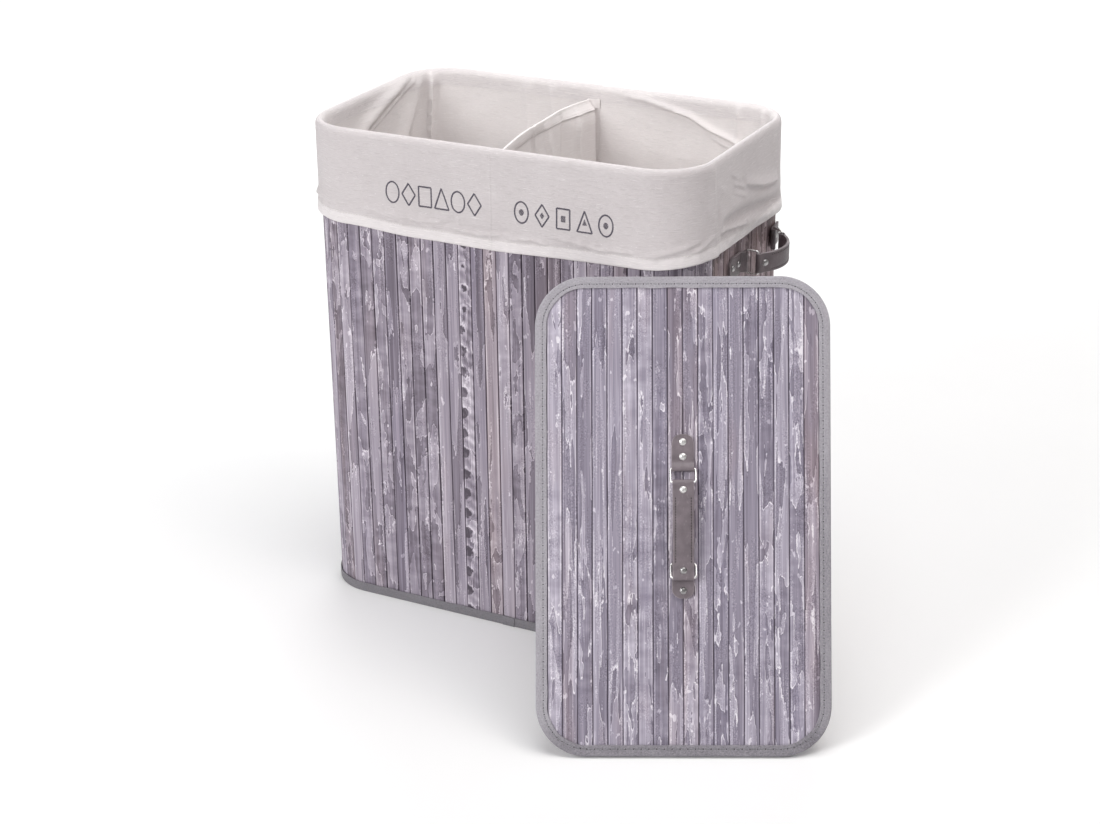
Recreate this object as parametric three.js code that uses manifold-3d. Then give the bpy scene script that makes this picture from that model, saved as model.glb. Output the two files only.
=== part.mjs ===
import * as THREE from 'three';
import { mergeVertices } from 'three/addons/utils/BufferGeometryUtils.js';
import Module from 'manifold-3d';

// Laundry hamper with two bins: a rounded box of upright slats, a cloth liner that folds over
// the rim and is split by a divider, two side handles, and a loose lid leaning on one corner.
// Millimetres, +Z up, front towards -Y. The origin is the middle of the underside.

const wasm = await Module();
wasm.setup();

// Body, measured over the slats
const BODY_LENGTH = 496;
const BODY_DEPTH = 296;
const CORNER_RADIUS = 60;
const WALL_TOP = 584;

// Slats and the cloth that they are glued to
const SLAT_PITCH = 16.4;
const SLAT_THICKNESS = 3;
const SEAM_WIDTH = 1.4;
const SEAM_DEPTH = 1.2;
const BACKING_THICKNESS = 1.2;

// Tape bindings and the steel wires inside them
const TAPE_THICKNESS = 1;
const TAPE_CHAMFER = 0.6;
const BASE_TAPE_HEIGHT = 12;
const RIM_TAPE_HEIGHT = 24;
const WIRE_RADIUS = 1.5;

// Base board and cloth liner
const BOARD_THICKNESS = 4;
const CLOTH_THICKNESS = 1.2;
const LINER_SEAM_DROP = 4;
const CUFF_LIFT = 5.9;
const CUFF_SPRING_DROP = 1.6;
const CUFF_OUTSET = 2.6;
const CUFF_PLUMP = 2.2;
const CUFF_HEM_DROP = 99;
const CUFF_HEM_WAVE = 12;
const CUFF_HEM_FLARE = 3.4;
const CUFF_HEM_BAND = 12;
const CUFF_HEM_THICKNESS = 2;
const DIVIDER_DROP = 2;
const DIVIDER_BULGE = 17;
const DIVIDER_HEM_BAND = 10;
const DIVIDER_HEM_THICKNESS = 0.8;

// Lid, laid flat it is a rounded board with slats along its length
const LID_LENGTH = 520;
const LID_WIDTH = 320;
const LID_CORNER_RADIUS = 55;
const LID_TAPE_WIDTH = 12.5;
const LID_TAPE_CHAMFER = 1.5;
const LID_LINING_THICKNESS = 1;
const LID_BOARD_THICKNESS = 2;
const LID_SLAT_THICKNESS = 1.8;
const LID_SLAT_SHIFT = 0.2;
const LID_SEAM_DEPTH = 0.9;

// How the lid stands: turned about the vertical, leaning back, and moved along its own width
const LID_TURN = 25.97;
const LID_LEAN = 23.9;
const LID_SHIFT = 18.8;

// Handles: leather tabs, rectangular steel rings, a strap between the rings, round rivets
const TAB_WIDTH = 24.3;
const TAB_LENGTH = 37.5;
const TAB_THICKNESS = 2.8;
const TAB_END_RADIUS = 10.5;
const TAB_LIFT_RUN = 9;
const TAB_RIVET_OUTER = 8.5;
const TAB_RIVET_SPACING = 16;
const RING_WIRE_RADIUS = 1.25;
const RING_REACH = 16;
const RING_CORNER_RADIUS = 2.5;
const RING_CLEARANCE = 0.35;
const OPEN_RING_CLEARANCE = 1.15;
const LOOP_WALL = 1.4;
const STRAP_WIDTH = 23;
const STRAP_THICKNESS = 3;
const STRAP_RIVET_INSET = 8;
const RIVET_HEAD_RADIUS = 3.95;
const RIVET_HEAD_HEIGHT = 1.8;
const RIVET_SHANK_RADIUS = 1.5;
const LID_PIVOT_SPACING = 103;
const LID_RING_TILT = 155;
const LID_STRAP_BOW = 3;
const SIDE_HANDLE_DROP = 28.5;
const SIDE_PIVOT_SPACING = 86;
const SIDE_PIVOT_SETBACK = 10;
const SIDE_PIVOT_OUT = 5.6;
const SIDE_NEAR_RING_TILT = 90;
const SIDE_FAR_RING_TILT = 122;
const SIDE_STRAP_BOW = 18.5;

// Room left between pieces that touch, and how far a cutting tool runs past its work
const FIT_GAP = 0.3;
const OVERRUN = 5;

// Counts of steps round the curves
const LID_CORNER_STEPS = 6;
const WIRE_SIDES = 6;
const RING_SIDES = 8;
const RING_CORNER_STEPS = 3;
const ROUND_STEPS = 12;
const RIVET_STEPS = 10;
const TAB_END_STEPS = 4;
const STRAP_STEPS = 8;
const CUFF_LONG_STEPS = 8;
const CUFF_END_STEPS = 4;
const CUFF_ARCH_STEPS = 5;
const CUFF_DROP_STEPS = 4;
const DIVIDER_RUN_STEPS = 16;
const DIVIDER_RISE_STEPS = 6;

const RIGHT_ANGLE = Math.PI / 2;
const radians = THREE.MathUtils.degToRad;
const lerp = THREE.MathUtils.lerp;

// How far the hem hangs below its highest place, at even stations once round from the front's
// right-hand end, and how far it stands off the slats at the same stations
const HEM_DROP_SHARES = [
  0.16, 0, 0.32, 0.2, 0.42, 0.75, 0.95, 0.6, 0.25, 0.3, 0.12, 0.22, 0.62, 0.98, 0.9, 0.42,
];
const HEM_FLARE_SHARES = [
  0.5, 0.9, 0.35, 0.55, 0.8, 0.3, 0.15, 0.5, 0.85, 0.45, 0.7, 0.4, 0.6, 0.2, 0.1, 0.35,
];

// Outline of a rivet's domed head above its flat edge
const RIVET_DOME_SHARES = [[0.9, 0.6], [0.55, 0.93]];

// Where along its run the divider bulges most, from the front, and how sharp each side of it is
const DIVIDER_PEAK_SHARE = 0.46;
const DIVIDER_FRONT_POWER = 2;
const DIVIDER_BACK_POWER = 1.2;

// Depths into the wall from the slats' outer face
const backingInset = SLAT_THICKNESS + FIT_GAP;
const backingDepth = backingInset + BACKING_THICKNESS;
const tapeInset = backingDepth + FIT_GAP;
const bagInset = tapeInset + TAPE_THICKNESS + FIT_GAP;
const bagDepth = bagInset + CLOTH_THICKNESS;

// Heights
const baseWireHeight = TAPE_THICKNESS + FIT_GAP + WIRE_RADIUS;
const slatBottom = baseWireHeight + WIRE_RADIUS + FIT_GAP;
const rimWireHeight = WALL_TOP + FIT_GAP + WIRE_RADIUS;
const rimTapeTop = rimWireHeight + WIRE_RADIUS + FIT_GAP + TAPE_THICKNESS;
const bagBottom = BOARD_THICKNESS + FIT_GAP;
const linerSeamHeight = WALL_TOP - LINER_SEAM_DROP;
const dividerTop = linerSeamHeight - DIVIDER_DROP;
const cuffSpring = rimTapeTop - CUFF_SPRING_DROP;
const cuffUnderside = rimTapeTop + CUFF_LIFT;
const cuffHemHeight = WALL_TOP - CUFF_HEM_DROP;
const sideHandleHeight = cuffHemHeight - SIDE_HANDLE_DROP;

// Heights in the lid, from its back face
const lidLiningBack = TAPE_THICKNESS + FIT_GAP;
const lidBoardBack = lidLiningBack + LID_LINING_THICKNESS + FIT_GAP;
const lidSlatBack = lidBoardBack + LID_BOARD_THICKNESS + FIT_GAP;
const lidSlatFace = lidSlatBack + LID_SLAT_THICKNESS;
const lidThickness = lidSlatFace + FIT_GAP + TAPE_THICKNESS;
const lidWireInset = TAPE_THICKNESS + FIT_GAP + WIRE_RADIUS;
const lidLayerInset = lidWireInset + WIRE_RADIUS + FIT_GAP;

const eyeHoleRadius = RING_WIRE_RADIUS + RING_CLEARANCE;
const eyeRadius = eyeHoleRadius + LOOP_WALL;
const openEyeHoleRadius = RING_WIRE_RADIUS + OPEN_RING_CLEARANCE;
const lidPivotOut = FIT_GAP + eyeRadius;
const rivetHoleRadius = RIVET_SHANK_RADIUS + FIT_GAP;
const ringWidth = Math.max(TAB_WIDTH, STRAP_WIDTH) + 2 * RING_CLEARANCE + 4 * RING_WIRE_RADIUS;
const tabEndRadius = Math.min(TAB_END_RADIUS, TAB_WIDTH / 2 - FIT_GAP);

// The side handles' pivots: the far one lies a little in front of the rounded back corner
const farPivot = BODY_DEPTH / 2 - CORNER_RADIUS - SIDE_PIVOT_SETBACK;
const nearPivot = farPivot - SIDE_PIVOT_SPACING;

// Closed meshes

function facingOut(points, faces) {
  const cross = new THREE.Vector3();
  let volume = 0;
  for (const [a, b, c] of faces) {
    volume += points[a].dot(cross.crossVectors(points[b], points[c]));
  }
  const turned = volume < 0 ? faces.map(([a, b, c]) => [a, c, b]) : faces;
  const geometry = new THREE.BufferGeometry().setFromPoints(points);
  geometry.setIndex(turned.flat());
  return geometry;
}

function sideFaces(here, there, count) {
  const faces = [];
  for (let j = 0; j < count; j++) {
    const k = (j + 1) % count;
    faces.push([here + j, there + j, there + k], [here + j, there + k, here + k]);
  }
  return faces;
}

function ringSolid(sections) {
  const count = sections[0].length;
  const faces = sections.flatMap((section, i) => {
    const next = (i + 1) % sections.length;
    return sideFaces(i * count, next * count, count);
  });
  return facingOut(sections.flat(), faces);
}

function capFaces(outline) {
  const flat = outline.map(([x, y]) => new THREE.Vector2(x, y));
  const way = Math.sign(THREE.ShapeUtils.area(flat));
  return THREE.ShapeUtils.triangulateShape(flat, []).map(([a, b, c]) => {
    const turn = Math.sign(THREE.ShapeUtils.area([flat[a], flat[b], flat[c]]));
    return turn === way ? [a, b, c] : [a, c, b];
  });
}

function loft(sections, outline) {
  const count = outline.length;
  const last = (sections.length - 1) * count;
  const faces = capFaces(outline);
  faces.push(...capFaces(outline).map(([a, b, c]) => [last + a, last + c, last + b]));
  for (let i = 0; i + 1 < sections.length; i++) {
    faces.push(...sideFaces(i * count, (i + 1) * count, count));
  }
  return facingOut(sections.flat(), faces);
}

function prism(outline, low, high) {
  const shape = new THREE.Shape(outline);
  const geometry = new THREE.ExtrudeGeometry(shape, { depth: high - low, bevelEnabled: false });
  return geometry.translate(0, 0, low);
}

function rod(radius, from, to) {
  const along = to.clone().sub(from);
  const geometry = new THREE.CylinderGeometry(radius, radius, along.length(), ROUND_STEPS);
  const up = new THREE.Vector3(0, 1, 0);
  geometry.applyQuaternion(new THREE.Quaternion().setFromUnitVectors(up, along.clone().normalize()));
  return geometry.translate(...from.clone().addScaledVector(along, 0.5).toArray());
}

// Cutting and joining

function solidOf(geometry) {
  const bare = geometry.clone();
  bare.deleteAttribute('normal');
  bare.deleteAttribute('uv');
  const merged = mergeVertices(bare);
  return new wasm.Manifold(new wasm.Mesh({
    numProp: 3,
    vertProperties: new Float32Array(merged.attributes.position.array),
    triVerts: new Uint32Array(merged.index.array),
  }));
}

function geometryOf(solid) {
  const mesh = solid.getMesh();
  const geometry = new THREE.BufferGeometry();
  geometry.setAttribute('position', new THREE.BufferAttribute(mesh.vertProperties, 3));
  geometry.setIndex(new THREE.BufferAttribute(mesh.triVerts, 1));
  return geometry;
}

function cut(geometry, tools) {
  return geometryOf(tools.reduce((body, tool) => body.subtract(solidOf(tool)), solidOf(geometry)));
}

function join(geometries) {
  return geometryOf(geometries.map(solidOf).reduce((body, other) => body.add(other)));
}

function common(first, second) {
  return geometryOf(solidOf(first).intersect(solidOf(second)));
}

// Rounded rectangles: stations once round, each with its outermost point and outward direction

const bodyLoop = {
  halfX: BODY_LENGTH / 2,
  halfY: BODY_DEPTH / 2,
  radius: CORNER_RADIUS,
  steps: Math.max(2, Math.round(CORNER_RADIUS * RIGHT_ANGLE / SLAT_PITCH)),
};

const lidLoop = {
  halfX: LID_WIDTH / 2,
  halfY: LID_LENGTH / 2,
  radius: LID_CORNER_RADIUS,
  steps: LID_CORNER_STEPS,
};

const cornerSigns = [[1, -1], [1, 1], [-1, 1], [-1, -1]];

function cornerStations(loop, corner) {
  const [signX, signY] = cornerSigns[corner];
  const reach = new THREE.Vector2(loop.halfX - loop.radius, loop.halfY - loop.radius);
  const centre = reach.multiply(new THREE.Vector2(signX, signY));
  return Array.from({ length: loop.steps + 1 }, (unused, i) => {
    const angle = (corner - 1 + i / loop.steps) * RIGHT_ANGLE;
    const out = new THREE.Vector2(Math.cos(angle), Math.sin(angle));
    return { point: centre.clone().addScaledVector(out, loop.radius), out };
  });
}

function sideStations(loop, corner, steps) {
  const from = cornerStations(loop, corner).at(-1);
  const to = cornerStations(loop, (corner + 1) % 4)[0];
  return Array.from({ length: steps + 1 }, (unused, i) => (
    { point: from.point.clone().lerp(to.point, i / steps), out: from.out }
  ));
}

function loopStations(loop, longSteps = 1, endSteps = 1) {
  const stations = [];
  for (let corner = 0; corner < 4; corner++) {
    const steps = corner % 2 === 0 ? endSteps : longSteps;
    stations.push(...cornerStations(loop, corner), ...sideStations(loop, corner, steps).slice(1, -1));
  }
  let travelled = 0;
  stations.forEach((station, i) => {
    station.travelled = travelled;
    travelled += station.point.distanceTo(stations[(i + 1) % stations.length].point);
  });
  stations.forEach((station) => {
    station.share = station.travelled / travelled;
  });
  return stations;
}

function inset(station, depth, height = 0) {
  const point = station.point.clone().addScaledVector(station.out, -depth);
  return new THREE.Vector3(point.x, point.y, height);
}

function loopOutline(loop, depth) {
  return loopStations(loop).map((station) => inset(station, depth));
}

function loopRing(loop, profile) {
  return ringSolid(loopStations(loop).map((station) => (
    profile.map(([depth, height]) => inset(station, depth, height))
  )));
}

function circleProfile(depth, height, radius, sides) {
  return Array.from({ length: sides }, (unused, i) => {
    const angle = (i / sides) * Math.PI * 2;
    return [depth + radius * Math.cos(angle), height + radius * Math.sin(angle)];
  });
}

// A tape folded over an edge, open towards `open`, its fold at `fold`, legs at two depths
function tapeProfile(outer, inner, fold, open, chamfer) {
  const up = Math.sign(open - fold);
  return [
    [outer, open],
    [outer, fold + up * chamfer],
    [outer + chamfer, fold],
    [inner - chamfer, fold],
    [inner, fold + up * chamfer],
    [inner, open],
    [inner - TAPE_THICKNESS, open],
    [inner - TAPE_THICKNESS, fold + up * TAPE_THICKNESS],
    [outer + TAPE_THICKNESS, fold + up * TAPE_THICKNESS],
    [outer + TAPE_THICKNESS, open],
  ];
}

// Walls of slats

function slatOutline(vertices, inner) {
  const last = vertices.length - 1;
  const pitch = vertices[0].point.distanceTo(vertices[1].point);
  const trim = FIT_GAP / 2 / pitch;
  const seam = SEAM_WIDTH / 2 / pitch;
  const between = (i, share, depth) => {
    const from = inset(vertices[i], depth);
    return from.lerp(inset(vertices[i + 1], depth), share);
  };
  const outline = [];
  for (let i = 0; i < last; i++) {
    outline.push(between(i, i === 0 ? trim : 0, SEAM_DEPTH));
    outline.push(between(i, seam, 0), between(i, 1 - seam, 0));
  }
  outline.push(between(last - 1, 1 - trim, SEAM_DEPTH), between(last - 1, 1 - trim, SLAT_THICKNESS));
  if (inner) {
    outline.push(...vertices.slice(1, -1).reverse().map((vertex) => inset(vertex, SLAT_THICKNESS)));
  }
  outline.push(between(0, trim, SLAT_THICKNESS));
  return outline;
}

function flatSlats(corner, length) {
  const count = Math.max(2, Math.round(length / SLAT_PITCH));
  return prism(slatOutline(sideStations(bodyLoop, corner, count), false), slatBottom, WALL_TOP);
}

function cornerSlats(corner) {
  return prism(slatOutline(cornerStations(bodyLoop, corner), true), slatBottom, WALL_TOP);
}

function wallBacking() {
  return loopRing(bodyLoop, [
    [backingInset, slatBottom],
    [backingInset, WALL_TOP],
    [backingDepth, WALL_TOP],
    [backingDepth, slatBottom],
  ]);
}

function wallTape(fold, open) {
  const outer = -FIT_GAP - TAPE_THICKNESS;
  return loopRing(bodyLoop, tapeProfile(outer, tapeInset + TAPE_THICKNESS, fold, open, TAPE_CHAMFER));
}

function wallWire(height) {
  return loopRing(bodyLoop, circleProfile(tapeInset / 2, height, WIRE_RADIUS, WIRE_SIDES));
}

// Liner

function stationValue(shares, share) {
  const place = share * shares.length;
  const low = Math.floor(place) % shares.length;
  const blend = THREE.MathUtils.smoothstep(place - Math.floor(place), 0, 1);
  return lerp(shares[low], shares[(low + 1) % shares.length], blend);
}

function linerBag() {
  const outside = prism(loopOutline(bodyLoop, bagInset), bagBottom, linerSeamHeight);
  const floor = bagBottom + CLOTH_THICKNESS;
  return cut(outside, [prism(loopOutline(bodyLoop, bagDepth), floor, linerSeamHeight + OVERRUN)]);
}

// Middle line of the cuff's cloth at one station, from the seam inside, over the rim, to the hem
function cuffLine(share) {
  const insideDepth = bagInset + CLOTH_THICKNESS / 2;
  const archInner = insideDepth + CUFF_PLUMP;
  const archMiddle = (archInner - CUFF_OUTSET) / 2;
  const archReach = (archInner + CUFF_OUTSET) / 2;
  const archRise = cuffUnderside + CLOTH_THICKNESS / 2 - cuffSpring;
  const hem = cuffHemHeight - CUFF_HEM_WAVE * (stationValue(HEM_DROP_SHARES, share) - 0.5);
  const bandTop = hem + CUFF_HEM_BAND;
  const flare = CUFF_HEM_FLARE * stationValue(HEM_FLARE_SHARES, share);
  const line = [[insideDepth, linerSeamHeight + FIT_GAP, CLOTH_THICKNESS]];
  for (let i = 0; i <= CUFF_ARCH_STEPS; i++) {
    const angle = (i / CUFF_ARCH_STEPS) * Math.PI;
    const depth = archMiddle + archReach * Math.cos(angle);
    line.push([depth, cuffSpring + archRise * Math.sin(angle), CLOTH_THICKNESS]);
  }
  for (let i = 1; i <= CUFF_DROP_STEPS; i++) {
    const drop = i / CUFF_DROP_STEPS;
    const height = lerp(cuffSpring, bandTop, drop);
    line.push([-CUFF_OUTSET - flare * drop * drop, height, CLOTH_THICKNESS]);
  }
  line.push([-CUFF_OUTSET - flare, bandTop - CLOTH_THICKNESS, CUFF_HEM_THICKNESS]);
  line.push([-CUFF_OUTSET - flare, hem, CUFF_HEM_THICKNESS]);
  return line;
}

function skinOf(line, side) {
  return line.map(([depth, height, thickness], i) => {
    const before = line[Math.max(0, i - 1)];
    const after = line[Math.min(line.length - 1, i + 1)];
    const along = new THREE.Vector2(after[0] - before[0], after[1] - before[1]).normalize();
    return [depth - side * along.y * thickness / 2, height + side * along.x * thickness / 2];
  });
}

function linerCuff() {
  const stations = loopStations(bodyLoop, CUFF_LONG_STEPS, CUFF_END_STEPS);
  return ringSolid(stations.map((station) => {
    const line = cuffLine(station.share);
    const profile = [...skinOf(line, 1), ...skinOf(line, -1).reverse()];
    return profile.map(([depth, height]) => inset(station, depth, height));
  }));
}

const dividerHalf = BODY_DEPTH / 2 - bagDepth - FIT_GAP;
const dividerBottom = bagBottom + CLOTH_THICKNESS + FIT_GAP;

// Sideways place of the divider's middle at a share of its run from the front, and a height
function dividerSway(run, height) {
  const near = run / DIVIDER_PEAK_SHARE;
  const far = (1 - run) / (1 - DIVIDER_PEAK_SHARE);
  const front = Math.sin(Math.min(1, near) * RIGHT_ANGLE) ** DIVIDER_FRONT_POWER;
  const back = Math.sin(Math.min(1, far) * RIGHT_ANGLE) ** DIVIDER_BACK_POWER;
  const rise = (height - dividerBottom) / (dividerTop - dividerBottom);
  return -DIVIDER_BULGE * Math.min(front, back) * rise;
}

function dividerSections(profile, trim) {
  return Array.from({ length: DIVIDER_RUN_STEPS + 1 }, (unused, i) => {
    const run = i / DIVIDER_RUN_STEPS;
    const y = lerp(-dividerHalf + trim, dividerHalf - trim, run);
    return profile.map(([offset, height]) => (
      new THREE.Vector3(dividerSway(run, height) + offset, y, height)
    ));
  });
}

function linerDivider() {
  const half = CLOTH_THICKNESS / 2;
  const heights = Array.from({ length: DIVIDER_RISE_STEPS + 1 }, (unused, i) => (
    lerp(dividerBottom, dividerTop, i / DIVIDER_RISE_STEPS)
  ));
  const right = heights.map((height) => [half, height]);
  const left = heights.map((height) => [-half, height]).reverse();
  const profile = [...right, ...left];
  return loft(dividerSections(profile, 0), profile);
}

function linerDividerHem() {
  const inner = CLOTH_THICKNESS / 2 + FIT_GAP;
  const outer = inner + DIVIDER_HEM_THICKNESS;
  const low = dividerTop - DIVIDER_HEM_BAND;
  const roof = dividerTop + FIT_GAP;
  const profile = [
    [outer, low],
    [outer, roof + DIVIDER_HEM_THICKNESS],
    [-outer, roof + DIVIDER_HEM_THICKNESS],
    [-outer, low],
    [-inner, low],
    [-inner, roof],
    [inner, roof],
    [inner, low],
  ];
  return loft(dividerSections(profile, DIVIDER_HEM_THICKNESS), profile);
}

// Lid, in its own frame: X across it, Y along it, Z out of its face

function lidLayer(back, face) {
  return prism(loopOutline(lidLoop, lidLayerInset), back, face);
}

function lidSlats() {
  const reach = LID_WIDTH / 2;
  const count = Math.ceil(LID_WIDTH / SLAT_PITCH) + 2;
  const outline = [[-reach, lidSlatBack]];
  for (let i = 0; i <= count; i++) {
    const x = LID_SLAT_SHIFT + (i - Math.floor(count / 2)) * SLAT_PITCH;
    if (Math.abs(x) < reach - SEAM_WIDTH) {
      outline.push([x - SEAM_WIDTH / 2, lidSlatFace], [x, lidSlatFace - LID_SEAM_DEPTH]);
      outline.push([x + SEAM_WIDTH / 2, lidSlatFace]);
    }
  }
  outline.splice(1, 0, [-reach, lidSlatFace]);
  outline.push([reach, lidSlatFace], [reach, lidSlatBack]);
  const mat = loft([-LID_LENGTH / 2, LID_LENGTH / 2].map((y) => (
    outline.map(([x, z]) => new THREE.Vector3(x, y, z))
  )), outline);
  return common(mat, lidLayer(0, lidThickness));
}

function lidTape() {
  const face = lidThickness;
  const inner = face - TAPE_THICKNESS;
  return loopRing(lidLoop, [
    [LID_TAPE_WIDTH, 0],
    [LID_TAPE_CHAMFER, 0],
    [0, LID_TAPE_CHAMFER],
    [0, face - LID_TAPE_CHAMFER],
    [LID_TAPE_CHAMFER, face],
    [LID_TAPE_WIDTH, face],
    [LID_TAPE_WIDTH, inner],
    [TAPE_THICKNESS, inner],
    [TAPE_THICKNESS, TAPE_THICKNESS],
    [LID_TAPE_WIDTH, TAPE_THICKNESS],
  ]);
}

function lidWire() {
  return loopRing(lidLoop, circleProfile(lidWireInset, lidThickness / 2, WIRE_RADIUS, WIRE_SIDES));
}

// Handle grounds: a place on the surface that a handle is riveted to, from the run along the
// handle, the place across it and the height above the slats, and the frame there

const lidGround = {
  place: (run, across, out) => new THREE.Vector3(across, run, lidSlatFace + out),
  frame: () => ({
    along: new THREE.Vector3(0, 1, 0),
    across: new THREE.Vector3(1, 0, 0),
    out: new THREE.Vector3(0, 0, 1),
  }),
  bends: [],
  stack: LID_SLAT_THICKNESS + LID_BOARD_THICKNESS,
};

function endGround(side) {
  const corner = cornerStations(bodyLoop, 1);
  const chord = corner[0].point.distanceTo(corner[1].point);
  const tangent = corner[0].point.y;
  const facetOf = (run) => Math.floor((Math.abs(run) - tangent) / chord);
  const place = (run, across, out) => {
    const facet = facetOf(run);
    const flat = new THREE.Vector3(BODY_LENGTH / 2 + out, Math.abs(run), 0);
    const share = (Math.abs(run) - tangent) / chord - facet;
    const bent = facet < 0 ? flat : inset(corner[facet], -out).lerp(inset(corner[facet + 1], -out), share);
    return new THREE.Vector3(side * bent.x, Math.sign(run) * bent.y, sideHandleHeight + across);
  };
  const frame = (run) => {
    const turn = facetOf(run) < 0 ? 0 : (facetOf(run) + 0.5) * RIGHT_ANGLE / bodyLoop.steps;
    const angle = Math.sign(run) * turn;
    return {
      along: new THREE.Vector3(-side * Math.sin(angle), Math.cos(angle), 0),
      across: new THREE.Vector3(0, 0, 1),
      out: new THREE.Vector3(side * Math.cos(angle), Math.sin(angle), 0),
    };
  };
  const turns = corner.slice(0, -1).map((unused, i) => tangent + i * chord);
  const bends = [...turns, ...turns.map((run) => -run)];
  return { place, frame, bends, stack: backingDepth - FIT_GAP };
}

// Handle pieces

function tabHalfWidth(reach) {
  const past = Math.max(0, reach - (TAB_LENGTH - tabEndRadius));
  return TAB_WIDTH / 2 - tabEndRadius + Math.sqrt(Math.max(0, tabEndRadius ** 2 - past ** 2));
}

function tabRivetReaches() {
  const outer = TAB_LENGTH - TAB_RIVET_OUTER;
  return [outer - TAB_RIVET_SPACING, outer];
}

function tabBase(pivotOut, reach) {
  const lift = pivotOut - eyeRadius - FIT_GAP;
  return FIT_GAP + lift * (1 - THREE.MathUtils.smoothstep(reach, 0, TAB_LIFT_RUN));
}

function tabStops(ground, tab) {
  const round = Array.from({ length: TAB_END_STEPS + 1 }, (unused, i) => (
    TAB_LENGTH - tabEndRadius * (1 - Math.sin((i / TAB_END_STEPS) * RIGHT_ANGLE))
  ));
  const lifted = [0, TAB_LIFT_RUN / 3, TAB_LIFT_RUN * 2 / 3, TAB_LIFT_RUN];
  const bends = ground.bends.map((run) => (run - tab.pivot) * tab.way);
  const inside = bends.filter((reach) => reach > 0 && reach < TAB_LENGTH);
  return [...new Set([...lifted, ...round, ...inside])].sort((a, b) => a - b);
}

function tabGeometry(ground, tab) {
  const square = [[0, 0], [1, 0], [1, 1], [0, 1]];
  const sections = tabStops(ground, tab).map((reach) => {
    const base = tabBase(tab.out, reach);
    const half = tabHalfWidth(reach);
    return square.map(([across, up]) => (
      ground.place(tab.pivot + tab.way * reach, lerp(-half, half, across), base + up * TAB_THICKNESS)
    ));
  });
  const eye = (radius, half) => rod(
    radius,
    ground.place(tab.pivot, -half, tab.out),
    ground.place(tab.pivot, half, tab.out),
  );
  const holes = tabRivetReaches().map((reach) => rivetHole(ground, tab.pivot + tab.way * reach));
  const body = join([loft(sections, square), eye(eyeRadius, TAB_WIDTH / 2)]);
  return cut(body, [eye(eyeHoleRadius, TAB_WIDTH / 2 + OVERRUN), ...holes]);
}

function rivetHole(ground, run) {
  const at = ground.place(run, 0, 0);
  const { out } = ground.frame(run);
  const high = at.clone().addScaledVector(out, TAB_THICKNESS + OVERRUN);
  return rod(rivetHoleRadius, at.clone().addScaledVector(out, -ground.stack - OVERRUN), high);
}

function rivetGeometry(seat, out, depth) {
  const profile = [
    [0, -depth],
    [RIVET_SHANK_RADIUS, -depth],
    [RIVET_SHANK_RADIUS, 0],
    [RIVET_HEAD_RADIUS, 0],
    ...RIVET_DOME_SHARES.map(([wide, high]) => [RIVET_HEAD_RADIUS * wide, RIVET_HEAD_HEIGHT * high]),
    [0, RIVET_HEAD_HEIGHT],
  ];
  const points = profile.map(([radius, height]) => new THREE.Vector2(radius, height));
  const geometry = new THREE.LatheGeometry(points, RIVET_STEPS);
  const up = new THREE.Vector3(0, 1, 0);
  geometry.applyQuaternion(new THREE.Quaternion().setFromUnitVectors(up, out));
  return geometry.translate(...seat.toArray());
}

// Direction of a ring from its pivot: the tilt is measured from the handle's run, outwards
function ringWay(ground, tab) {
  const { along, out } = ground.frame(tab.pivot);
  const tilt = radians(tab.tilt);
  return along.clone().multiplyScalar(Math.cos(tilt)).addScaledVector(out, Math.sin(tilt));
}

function ringGeometry(ground, tab) {
  const loop = {
    halfX: RING_REACH / 2,
    halfY: ringWidth / 2 - RING_WIRE_RADIUS,
    radius: RING_CORNER_RADIUS,
    steps: RING_CORNER_STEPS,
  };
  const geometry = loopRing(loop, circleProfile(0, 0, RING_WIRE_RADIUS, RING_SIDES));
  const way = ringWay(ground, tab);
  const { across } = ground.frame(tab.pivot);
  const basis = new THREE.Matrix4().makeBasis(way, across, way.clone().cross(across));
  const middle = ground.place(tab.pivot, 0, tab.out).addScaledVector(way, RING_REACH / 2);
  return geometry.applyMatrix4(basis.setPosition(middle));
}

// The strap's middle line from one ring's outer bar to the other's: an arc that bows outwards
function strapLine(ground, near, far, bow) {
  const ends = [near, far].map((tab) => (
    ground.place(tab.pivot, 0, tab.out).addScaledVector(ringWay(ground, tab), RING_REACH)
  ));
  const chord = ends[0].distanceTo(ends[1]);
  const along = ends[1].clone().sub(ends[0]).normalize();
  const { across, out: wallOut } = ground.frame(near.pivot);
  const out = wallOut.clone().addScaledVector(along, -wallOut.dot(along)).normalize();
  const radius = (chord * chord / 4 + bow * bow) / (2 * bow);
  const half = Math.asin(chord / 2 / radius);
  const middle = ends[0].clone().lerp(ends[1], 0.5).addScaledVector(out, bow - radius);
  const at = (travel) => {
    const angle = travel / radius - half;
    const up = out.clone().multiplyScalar(Math.cos(angle)).addScaledVector(along, Math.sin(angle));
    return { point: middle.clone().addScaledVector(up, radius), up };
  };
  return { at, across, length: 2 * half * radius };
}

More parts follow.
